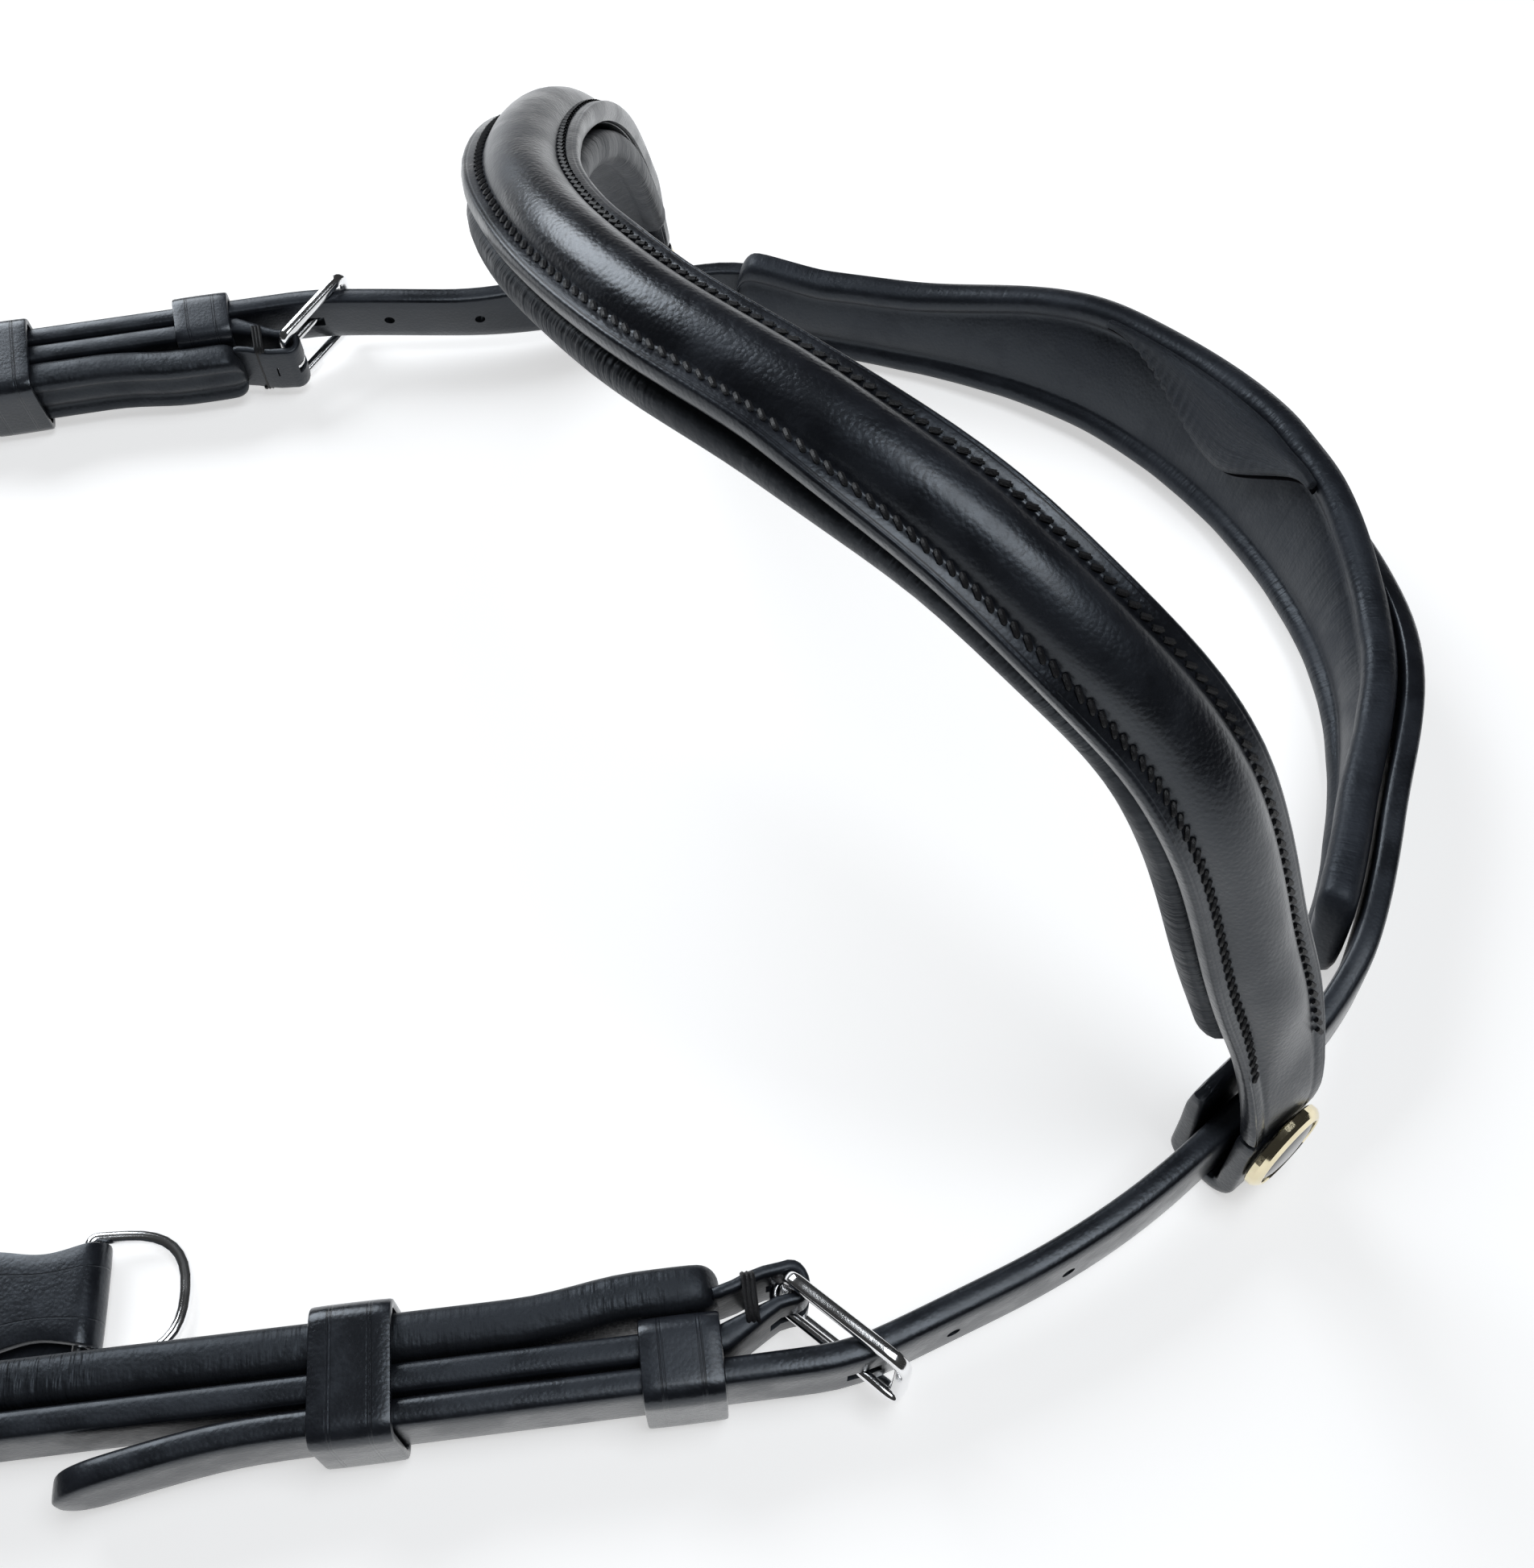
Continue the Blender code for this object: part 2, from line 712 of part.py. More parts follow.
def curve_through(rows, per_span=4, passes=2):
    """A smooth line through rows of four numbers, by Catmull and Rom's rule."""
    rows = [Vector(row) for row in rows]
    rows = [rows[0] * 2 - rows[1]] + rows + [rows[-1] * 2 - rows[-2]]
    points = []
    for a, b, c, d in zip(rows, rows[1:], rows[2:], rows[3:]):
        for i in range(per_span):
            t = i / per_span
            square, cube = 2 * a - 5 * b + 4 * c - d, 3 * b - a - 3 * c + d
            points.append(0.5 * (2 * b + (c - a) * t + square * t ** 2 + cube * t ** 3))
    points.append(rows[-2])
    for _ in range(passes):
        points = [points[0]] + [
            (before + 2 * here + after) / 4 for before, here, after in zip(points, points[1:], points[2:])
        ] + [points[-1]]
    return points


tilt_scale = 0.001  # the line's fourth number carries the tilt, scaled to sit beside metres
arch_rows = curve_through([
    (share * chord.length, height * arch_height, depth * arch_height, tilt * tilt_scale)
    for share, height, depth, tilt in arch_shares
])
arch_points = [row.to_3d() for row in arch_rows]
arch_length = sum((b - a).length for a, b in zip(arch_points, arch_points[1:]))
arch_guide = guide("arch_guide", arch_points, [row[3] / tilt_scale for row in arch_rows], arch_frame)
print("browband length over the arch", arch_length)


def band_section(width, share):
    """The front leather: flat flanges and a raised roll, which the share fades out."""
    low, high = -band_thickness / 2, band_thickness / 2
    half, roll = width / 2, band_roll_width / 2
    points = [(low, -half), (high - strap_edge_round / 2, -half), (high, -half + strap_edge_round / 2)]
    points.append((high, -roll * 1.02))
    for i in range(1, 6):
        angle = math.pi * i / 6
        points.append((high + band_roll_height * share * math.sin(angle) ** 0.8, -roll * math.cos(angle)))
    points += [(high, roll * 1.02), (high, half - strap_edge_round / 2)]
    points += [(high - strap_edge_round / 2, half), (low, half)]
    return points


def on_arch(made):
    follow(made, arch_guide)
    made.matrix_basis = arch_frame


def browband_front():
    centres, sections = [], []
    for place in spaced(0.0, arch_length, band_width * 0.36):
        near_end = min(place, arch_length - place)
        width = loop_width + (band_width - loop_width) * ramp(near_end, loop_width * 0.6, loop_width * 2.4)
        centres.append((place, 0.0))
        sections.append(band_section(width, ramp(near_end, loop_width * 0.8, loop_width * 2.4)))
    made = strip("browband_front", centres, sections, bridle_leather)
    on_arch(made)
    return made


def browband_lining():
    start = loop_width * 1.5
    length = band_lining_thickness
    places = spaced(start, arch_length - start, band_lining_width * 0.36)
    places = sorted(set(places + [start + length * s for s in (0.2, 0.6)]
                        + [arch_length - start - length * s for s in (0.2, 0.6)]))
    centres, sections = [], []
    for place in places:
        share = end_shares(place, start, arch_length - start, length)
        half = band_lining_width / 2 * share
        thick = band_lining_thickness * share
        centres.append((place, -band_thickness / 2 - gap))
        flat = rolled_section(thick, -half, half, lining_roll, lining_dip)
        sections.append([(-across, up) for across, up in flat])
    on_arch(strip("browband_lining", centres, sections, lining_leather))


front = browband_front()
browband_lining()


def tab_outline():
    """The tab's section across the strap, as an outline of (inward, up) points."""
    out, back = -strap_thickness / 2 - loop_slack, strap_thickness / 2 + loop_slack
    low, floor = -gap, -gap - loop_wall
    top = loop_top - loop_rise
    corner = loop_wall * 0.9
    flap_top = strap_width + loop_flap_rise
    outline = [(out - band_thickness, top)]
    for i in range(5):
        angle = math.radians(180 + 22.5 * i)
        outline.append((
            out - band_thickness + corner * (1 + math.cos(angle)), floor + corner * (1 + math.sin(angle))))
    for i in range(5):
        angle = math.radians(270 + 22.5 * i)
        outline.append((
            back + loop_wall - corner * (1 - math.cos(angle)), floor + corner * (1 + math.sin(angle))))
    outline += [(back + loop_wall, flap_top - gap * 2), (back + loop_wall * 0.6, flap_top)]
    outline += [(back + gap, flap_top - gap * 2), (back, low + gap), (back - gap, low)]
    outline += [(out + gap, low), (out, low + gap), (out, top)]
    return outline


def stud(side):
    """The decorative stud on the tab: a bezel, an inlay set in it and its shank washer."""
    face = -strap_thickness / 2 - loop_slack - band_thickness
    turn = Matrix.Rotation(math.pi / 2, 4, "X")
    cap = frame_at(side.origin, face - gap - stud_bezel_thickness / 2, stud_place) @ turn
    bezel = pin(f"{side.name}_stud_bezel", stud_radius, stud_bezel_thickness, cap, gold, 28, parts, 0.92)
    recess = cap @ Matrix.Translation((0, 0, stud_bezel_thickness * 0.35))
    pocket = pin(f"{side.name}_stud_pocket", stud_inlay_radius + gap, stud_bezel_thickness, recess, sides=28)
    cut(bezel, pocket)
    inlay = recess @ Matrix.Translation((0, 0, (stud_inlay_thickness - stud_bezel_thickness) / 2 + gap))
    pin(f"{side.name}_stud_inlay", stud_inlay_radius, stud_inlay_thickness, inlay, black_enamel, 28, parts,
        0.8)


for side in sides:
    outline = tab_outline()
    tab = strip(f"{side.name}_loop_tab", [(-loop_width / 2, 0), (loop_width / 2, 0)], [outline, outline],
                None, collection=guides)
    tab.matrix_basis = frame_at(side.origin)
    cut(front, tab, "UNION")
    stud(side)


# Noseband: a flat padded front between the cheekpieces, with a ring tab at each end
nose_spans_share = ((0.14, 0), (0.12, -28), (0.22, -35), (0.18, -37), (0.18, -37), (0.16, -35))
nose_heading = 7.0
nose_rows = walk(nose_start, 180 + nose_heading, [(share * nose_length, turn) for share, turn in nose_spans_share], 1)
nose_guide = guide("nose_guide", [(x, y, 0.0) for _, x, y, _ in nose_rows], [0.0] * len(nose_rows))


def nose_front():
    centres, sections = [], []
    for place in spaced(0.0, nose_length, nose_width * 0.4):
        near_end = min(place, nose_length - place)
        width = nose_end_width + (nose_width - nose_end_width) * ramp(near_end, 0.0, nose_width * 2)
        share = ramp(near_end, nose_width * 0.4, nose_width * 1.5)
        centres.append((place, 0.0))
        lift = nose_lining_thickness + gap + band_thickness / 2
        sections.append([(up, lift + across) for across, up in band_section(width, share)])
    follow(strip("nose_front", centres, sections, bridle_leather), nose_guide)


def nose_lining():
    places = spaced(nose_end_width * 0.5, nose_length - nose_end_width * 0.5, nose_width * 0.4)
    centres, sections = [], []
    for place in places:
        near_end = min(place, nose_length - place)
        width = nose_end_width + (nose_width - nose_end_width) * ramp(near_end, 0.0, nose_width * 2)
        centres.append((place, 0.0))
        sections.append(rounded_section(
            -width / 2 - gap, width / 2 + gap, 0.0, nose_lining_thickness, nose_lining_thickness * 0.45, 2))
    follow(strip("nose_lining", centres, sections, lining_leather), nose_guide)


nose_front()
nose_lining()


def ring_tab(name, place, heading):
    """A tab folded round the ring's bar, both lying flat. Heading points from the noseband to the ring."""
    put = Matrix.Translation((*place, 0.0)) @ Matrix.Rotation(math.radians(heading), 4, "Z")
    turned = wire_radius + eye_clearance + fold_thickness / 2
    lift = turned + fold_thickness / 2
    upper, lower = lift + turned, lift - turned
    rows = [(gap * 2, upper), (nose_tab_length * 0.4, upper), (nose_tab_length * 0.8, upper)]
    for i in range(7):
        angle = math.radians(90 - 30 * i)
        rows.append((nose_tab_length + turned * math.cos(angle), lift + turned * math.sin(angle)))
    rows += [(nose_tab_length * 0.8, lower), (nose_tab_length * 0.4, lower)]
    half = fold_thickness / 2
    section = rounded_section(-half, half, -nose_end_width / 2, nose_end_width / 2, fold_thickness / 3, 1)
    made = strip(f"{name}_ring_tab", rows, [section] * len(rows), bridle_leather, -1)
    made.matrix_basis = put @ Matrix.Rotation(math.pi / 2, 4, "X")
    droop = math.asin((lift - wire_radius - gap) / ring_length)
    bar = put @ Matrix.Translation((nose_tab_length, 0, lift)) @ Matrix.Rotation(droop, 4, "Y")
    side_at = ring_width / 2
    radii = [frame_corner / 2, ring_length * 0.62, ring_length * 0.62, frame_corner / 2]
    corners = [(0, -side_at, 0), (ring_length, -side_at, 0), (ring_length, side_at, 0), (0, side_at, 0)]
    wire(f"{name}_ring", round_corners(corners, radii), wire_radius, chrome, bar, closed=True, resolution=1)
    axes.append((f"{name} ring axis", bar, 1))


ring_tab("near", nose_start, nose_heading)
last_row = nose_rows[-1]
ring_tab("far", (last_row[1], last_row[2]), last_row[3])


# The whole bridle stands on the table, with its box centred on the origin
bpy.context.view_layer.update()
graph = bpy.context.evaluated_depsgraph_get()
corners = []
for thing in parts.objects:
    shown = thing.evaluated_get(graph)
    if thing.type != "EMPTY":
        corners += [shown.matrix_world @ vertex.co for vertex in shown.to_mesh().vertices]
lowest = Vector([min(corner[i] for corner in corners) for i in range(3)])
highest = Vector([max(corner[i] for corner in corners) for i in range(3)])
middle = (lowest + highest) / 2
stand.location = (-middle.x, -middle.y, -lowest.z)
print("size", highest - lowest)
for label, place, column in axes:
    print(label, stand.location + place.translation, "along", place.col[column].to_3d())
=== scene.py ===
# Anatomic bridle lying on a white table: leather, padding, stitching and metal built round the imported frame
from math import asin, cos, exp, pi, radians, sin, sqrt, tau

import bpy
from mathutils import Matrix, Vector


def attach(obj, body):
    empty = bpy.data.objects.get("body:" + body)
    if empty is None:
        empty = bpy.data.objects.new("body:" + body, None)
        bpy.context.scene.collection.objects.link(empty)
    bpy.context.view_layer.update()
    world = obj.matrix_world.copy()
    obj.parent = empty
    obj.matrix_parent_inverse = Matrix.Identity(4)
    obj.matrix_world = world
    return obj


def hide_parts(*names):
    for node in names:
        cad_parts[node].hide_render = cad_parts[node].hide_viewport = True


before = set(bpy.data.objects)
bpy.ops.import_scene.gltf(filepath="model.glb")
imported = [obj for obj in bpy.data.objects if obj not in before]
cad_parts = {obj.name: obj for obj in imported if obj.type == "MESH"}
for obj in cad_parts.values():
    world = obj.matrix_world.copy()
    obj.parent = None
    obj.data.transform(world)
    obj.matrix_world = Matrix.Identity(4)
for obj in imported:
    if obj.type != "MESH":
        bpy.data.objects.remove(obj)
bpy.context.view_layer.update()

print("frame loaded")
mm = 0.001


def inMm(**sizes):
    return {label: size * mm for label, size in sizes.items()}


# How the bridle lies, in metres: the same lengths as the solids
lay = {
    "shift": (0.104038, -0.192295, 0.0),
    "gap": 0.0003, "strapWide": 0.013, "strapThick": 0.0045,
    "headLength": 0.3055, "toBend": 0.068, "bendLength": 0.012, "cheekEnd": 0.300,
    "billetLength": 0.188, "billetSpread": 0.0055, "fixedKeeper": 0.0985,
    "runner": 0.1455, "farRunner": 0.1415, "bitKeeper": 0.277, "pivot": 0.0815, "pivotIn": 0.0115,
    "loopWide": 0.015, "loopWall": 0.0034, "bandThick": 0.0038, "loopSlack": 0.0007,
    "nearLoop": (0.0752, 0.1157), "nearHeading": 42.0, "cheekRise": 0.0026,
    "headTurns": (14, 11, 12, 14, 13, 12, 12, 14, 11, 8, 9, 9),
    "nearSpans": ((0.20, -2), (0.25, -8), (0.27, -7), (0.28, 0)), "nearBend": -18,
    "farSpans": ((0.27, 14), (0.33, -10), (0.40, -4)), "farBend": 12,
    "noseStart": (-0.129, 0.0860), "noseLength": 0.310, "noseHeading": 7.0,
    "noseSpans": ((0.14, 0), (0.12, -28), (0.22, -35), (0.18, -37), (0.18, -37), (0.16, -35)),
    "archHeight": 0.117, "archLean": 30.0, "archFoot": 0.018,
}
gap, strapWide, strapThick = lay["gap"], lay["strapWide"], lay["strapThick"]

# The browband's line: share of the chord, of the height, of the depth, and tilt in degrees
archLine = (
    (0.000, 0.000, 0.000, 15), (0.004, 0.062, 0.034, 15), (0.025, 0.182, 0.085, 15),
    (0.044, 0.320, 0.118, 15), (0.062, 0.463, 0.159, 16), (0.079, 0.588, 0.187, 18),
    (0.108, 0.681, 0.198, 19), (0.148, 0.789, 0.186, 20), (0.213, 0.880, 0.163, 22),
    (0.278, 0.944, 0.123, 28), (0.330, 0.971, 0.092, 32), (0.405, 1.000, 0.039, 30),
    (0.480, 0.994, 0.008, 28), (0.541, 0.970, -0.006, 32), (0.618, 0.917, -0.006, 34),
    (0.704, 0.820, 0.025, 33), (0.771, 0.711, 0.061, 32), (0.826, 0.583, 0.077, 31),
    (0.884, 0.431, 0.071, 30), (0.937, 0.271, 0.053, 30), (0.978, 0.130, 0.036, 29),
    (1.000, 0.000, 0.000, 27),
)


def ramp(value, low, high):
    share = min(max((value - low) / (high - low), 0.0), 1.0)
    return share * share * (3 - 2 * share)


def along(table, place):
    value = table[0][1]
    for (low, _), (high, after) in zip(table, table[1:]):
        value += (after - value) * ramp(place, low, high)
    return value


def evenly(low, high, step):
    count = max(1, round((high - low) / step))
    return [low + (high - low) * i / count for i in range(count + 1)]


def walk(place, heading, spans, direction):
    x, y = place
    walked = 0.0
    rows = [(walked, x, y, heading)]
    for length, turn in spans:
        count = max(2, round(length / (2 * mm)))
        step = direction * length / count
        for _ in range(count):
            heading += turn / count / 2
            x += step * cos(radians(heading))
            y += step * sin(radians(heading))
            heading += turn / count / 2
            walked += step
            rows.append((walked, x, y, heading))
    return rows


def sideSpans(shares, turn):
    spans = [(share * lay["toBend"], bend) for share, bend in shares]
    return spans + [(lay["bendLength"], turn), (lay["cheekEnd"] - lay["toBend"], 0)]


head = lay["headLength"]
nearRows = walk(lay["nearLoop"], lay["nearHeading"], sideSpans(lay["nearSpans"], lay["nearBend"]), -1)
farRows = walk(lay["nearLoop"], lay["nearHeading"],
               [(head / 12, turn) for turn in lay["headTurns"]] + sideSpans(lay["farSpans"], lay["farBend"]), 1)
route = nearRows[:0:-1] + farRows
routeStart = route[0][0]
loopRise = lay["loopWall"] + gap
leans = (
    (-lay["billetLength"], -3), (-lay["fixedKeeper"], -3), (-lay["toBend"], -2), (-0.015, 0), (0.015, 0),
    (head / 5, 6), (head * 0.37, -15), (head * 0.62, -15), (head - 0.045, 6), (head - 0.015, 0),
    (head + 0.015, 0), (head + 0.045, 14), (head + lay["fixedKeeper"], 14),
)
headRise = (strapThick + gap) * sin(radians(15)) + gap
rises = (
    (-lay["toBend"], lay["cheekRise"]), (-0.015, loopRise), (0.015, loopRise), (0.038, headRise),
    (head - 0.045, headRise), (head - 0.015, loopRise), (head + 0.015, loopRise),
    (head + lay["toBend"], lay["cheekRise"] + 0.26 * strapWide),
)
shift = Matrix.Translation(lay["shift"])


def spin(degrees, axis="X"):
    return Matrix.Rotation(radians(degrees), 4, axis)


def between(rows, place):
    for before, after in zip(rows, rows[1:]):
        if place <= after[0]:
            break
    share = (place - before[0]) / (after[0] - before[0])
    return [low + (high - low) * share for low, high in zip(before[1:], after[1:])]


def frameAt(place, inward=0.0, height=0.0, turn=0.0):
    x, y, heading = between(route, place)
    put = Matrix.Translation((x, y, along(rises, place))) @ spin(heading, "Z")
    put = put @ spin(-along(leans, place))
    return put @ Matrix.Translation((0, inward, height)) @ spin(turn, "Z")


guides = []


def newObject(name, data):
    made = bpy.data.objects.new(name, data)
    bpy.context.scene.collection.objects.link(made)
    return made


def layGuide(name, points, tilts=None, place=None, closed=False):
    data = bpy.data.curves.new(name, "CURVE")
    data.dimensions = "3D"
    data.twist_mode = "Z_UP"
    line = data.splines.new("POLY")
    line.points.add(len(points) - 1)
    line.use_cyclic_u = closed
    for i, (point, spot) in enumerate(zip(line.points, points)):
        point.co = (*spot, 1)
        point.tilt = radians(tilts[i]) if tilts else 0.0
    guide = newObject(name, data)
    guide.matrix_world = shift @ (place or Matrix.Identity(4))
    guides.append(guide)
    return guide


strapGuide = layGuide("strapGuide", [(x, y, along(rises, place)) for place, x, y, _ in route],
                      [-along(leans, place) for place, *_ in route])


# Modelling by hand: a section drawn out along X, then bent along a guide
def pick(piece=None):
    bpy.ops.object.select_all(action="DESELECT")
    if piece:
        piece.select_set(True)
        bpy.context.view_layer.objects.active = piece


def toMode(mode):
    bpy.ops.object.mode_set(mode=mode)


def modify(piece, kind, **settings):
    pick(piece)
    made = piece.modifiers.new(kind.lower(), kind)
    for label, value in settings.items():
        setattr(made, label, value)
    bpy.ops.object.modifier_apply(modifier=made.name)


def carve(piece, cutter):
    modify(piece, "BOOLEAN", object=cutter, solver="EXACT")
    bpy.data.objects.remove(cutter)


def arc(across, up, radius, first, turn, count, *rest):
    turns = [radians(first + turn * i) for i in range(count)]
    return [(across + radius * cos(angle), up + radius * sin(angle), *rest) for angle in turns]


def rounded(low, high, bottom, top, radius):
    corners = ((high - radius, top - radius, 0), (low + radius, top - radius, 90),
               (low + radius, bottom + radius, 180), (high - radius, bottom + radius, 270))
    points = []
    for out, up, start in corners:
        points += arc(out, up, radius, start, 45, 3)
    return points


def station(x, out=0.0, wide=1.0, tall=1.0, base=0.0):
    return (x, out, wide, tall, base)


def drawStrap(name, outline, stations, shape=None, openEnds=False):
    pick()
    bpy.ops.mesh.primitive_circle_add(vertices=len(outline), fill_type="NGON")
    piece = bpy.context.object
    piece.name = name
    x, out, wide, tall, base = stations[0]
    for vertex, (across, up) in zip(piece.data.vertices, outline):
        vertex.co = (x, out + across * wide, base + up * tall)
    toMode("EDIT")
    bpy.ops.mesh.select_all(action="SELECT")
    for before, here in zip(stations, stations[1:]):
        step = (here[0] - before[0], here[1] - before[1], here[4] - before[4])
        bpy.ops.mesh.extrude_region_move(TRANSFORM_OT_translate={"value": step})
        if here[2:4] != before[2:4]:
            bpy.ops.transform.resize(value=(1, here[2] / before[2], here[3] / before[3]),
                                     center_override=(here[0], here[1], here[4]))
    bpy.ops.mesh.select_all(action="SELECT")
    bpy.ops.mesh.normals_make_consistent()
    bpy.ops.mesh.select_all(action="DESELECT")
    toMode("OBJECT")
    if openEnds:
        for face in piece.data.polygons:
            face.select = len(face.vertices) == len(outline)
        toMode("EDIT")
        bpy.ops.mesh.delete(type="ONLY_FACE")
        toMode("OBJECT")
    keepFlat(piece, stations)
    if shape:
        for vertex in piece.data.vertices:
            vertex.co = shape(*vertex.co)
    return piece


def keepFlat(piece, stations):
    flat = piece.data.attributes.new("flat", "FLOAT_VECTOR", "POINT")
    for i, vertex in enumerate(piece.data.vertices):
        x, y, z = vertex.co
        nearest = min(stations, key=lambda row: abs(row[0] - x))
        flat.data[i].vector = (x, (y - nearest[1]) / nearest[2], (z - nearest[4]) / nearest[3])


def smoothOut(piece, levels=1):
    modify(piece, "SUBSURF", levels=levels, render_levels=levels)


def bend(piece, guide, levels=1):
    if levels:
        smoothOut(piece, levels)
    piece.matrix_world = guide.matrix_world
    modify(piece, "CURVE", object=guide, deform_axis="POS_X")
    bpy.ops.object.transform_apply()
    bpy.ops.object.shade_smooth_by_angle(angle=radians(40))
    return piece


def settle(piece, look, node="", body="bridle"):
    piece.data.materials.clear()
    piece.data.materials.append(looks[look])
    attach(piece, body)
    if node:
        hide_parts(node)
    return piece


def dress(name, look, node, guide, outline, stations, shape=None, levels=1):
    return settle(bend(drawStrap(name, outline, stations, shape), guide, levels), look, node)


# Shader groups, each built once
def feed(node, label, value):
    if isinstance(value, (int, float, tuple)):
        node.inputs[label].default_value = value
    elif value is not None:
        node.id_data.links.new(value, node.inputs[label])


def newGroup(name, inputs, outputs):
    group = bpy.data.node_groups.new(name, "ShaderNodeTree")
    for label, kind, value in inputs:
        socket = group.interface.new_socket(label, in_out="INPUT", socket_type="NodeSocket" + kind)
        if value is not None:
            socket.default_value = value
    for label in outputs:
        group.interface.new_socket(label, in_out="OUTPUT", socket_type="NodeSocketFloat")
    return group, group.nodes.new("NodeGroupInput"), group.nodes.new("NodeGroupOutput")


def math2(tree, operation, a, b=None, c=None):
    made = tree.nodes.new("ShaderNodeMath")
    made.operation = operation
    for place, value in enumerate((a, b, c)):
        feed(made, place, value)
    return made.outputs[0]


def span(tree, value, low, high, start=0, end=1):
    made = tree.nodes.new("ShaderNodeMapRange")
    made.interpolation_type = "SMOOTHSTEP"
    for label, given in zip(("Value", "From Min", "From Max", "To Min", "To Max"),
                            (value, low, high, start, end)):
        feed(made, label, given)
    return made.outputs["Result"]


def noise(tree, vector, scale, detail=3, rough=0.55):
    made = tree.nodes.new("ShaderNodeTexNoise")
    for label, value in (("Detail", detail), ("Roughness", rough), ("Scale", scale), ("Vector", vector)):
        feed(made, label, value)
    return made.outputs["Fac"]


def stretch(tree, vector, amounts):
    made = tree.nodes.new("ShaderNodeVectorMath")
    made.operation = "MULTIPLY"
    feed(made, 0, vector)
    feed(made, 1, amounts)
    return made.outputs[0]


def grainGroup():
    group, given, out = newGroup("leatherGrain", (("Place", "Vector", None), ("Pebbles", "Float", 1500)),
                                 ("Height", "Mottle", "Dust"))
    place, pebbles = given.outputs[:2]
    cells = group.nodes.new("ShaderNodeTexVoronoi")
    cells.feature = "SMOOTH_F1"
    for label, value in (("Smoothness", 0.35), ("Vector", place), ("Scale", pebbles)):
        feed(cells, label, value)
    domes = math2(group, "SUBTRACT", 1, cells.outputs["Distance"])
    fine = noise(group, place, math2(group, "MULTIPLY", pebbles, 1.9), 4, 0.6)
    broad = noise(group, place, 140, 2)
    height = math2(group, "ADD", math2(group, "MULTIPLY", domes, 0.55), math2(group, "MULTIPLY", fine, 0.35))
    feed(out, "Height", math2(group, "MULTIPLY_ADD", broad, 0.8, height))
    feed(out, "Mottle", span(group, noise(group, place, 75, 4, 0.6), 0.35, 0.68))
    specks = noise(group, place, 2600, 2, 0.7)
    patches = span(group, noise(group, place, 90, 2), 0.5, 0.66)
    feed(out, "Dust", math2(group, "MULTIPLY", span(group, specks, 0.68, 0.76), patches))
    return group


def lineGroup():
    group, given, out = newGroup("toolLine", (("Value", "Float", 0), ("Place", "Float", 0),
                                              ("Width", "Float", 0.0004)), ("Mask",))
    value, place, width = given.outputs[:3]
    away = math2(group, "ABSOLUTE", math2(group, "SUBTRACT", value, place))
    feed(out, "Mask", span(group, away, 0, width, 1, 0))
    return group


def wrinkleGroup():
    group, given, out = newGroup("rollWrinkles", (("Flat", "Vector", None),), ("Height",))
    flat = given.outputs[0]
    fine = noise(group, stretch(group, flat, (900, 110, 110)), 1, 2, 0.5)
    folds = noise(group, stretch(group, flat, (260, 60, 60)), 1, 3, 0.55)
    patches = span(group, noise(group, flat, 28, 2), 0.38, 0.62)
    ridges = math2(group, "MULTIPLY", span(group, fine, 0.35, 0.65), patches)
    feed(out, "Height", math2(group, "MULTIPLY_ADD", ridges, 0.45, folds))
    return group


grain, toolLine, rollWrinkles = grainGroup(), lineGroup(), wrinkleGroup()


def useGroup(tree, group, **values):
    made = tree.nodes.new("ShaderNodeGroup")
    made.node_tree = group
    for label, value in values.items():
        feed(made, label, value)
    return made


def bump(tree, height, distance, under=None):
    made = tree.nodes.new("ShaderNodeBump")
    for label, value in (("Distance", distance), ("Height", height), ("Normal", under)):
        feed(made, label, value)
    return made.outputs["Normal"]


def mixColour(tree, share, first, second):
    made = tree.nodes.new("ShaderNodeMix")
    made.data_type = "RGBA"
    for place, value in ((0, share), (6, first), (7, second)):
        feed(made, place, (*value, 1) if isinstance(value, tuple) else value)
    return made.outputs[2]


def newLook(name, roughness=0.5, metallic=0, coat=0, coatRough=0.1, specular=0.5):
    look = bpy.data.materials.new(name)
    look.use_nodes = True
    shader = look.node_tree.nodes["Principled BSDF"]
    for label, value in (("Roughness", roughness), ("Metallic", metallic), ("Coat Weight", coat),
                         ("Coat Roughness", coatRough), ("Specular IOR Level", specular)):
        feed(shader, label, value)
    return look, look.node_tree, shader


def coordinates(tree, flat=False):
    if flat:
        made = tree.nodes.new("ShaderNodeAttribute")
        made.attribute_name = "flat"
        return made.outputs["Vector"]
    return tree.nodes.new("ShaderNodeTexCoord").outputs["Object"]


leather = {"sheen": (0.78, 0.88, 1, 1), "dust": (0.1, 0.105, 0.12), "coatRough": 0.24}


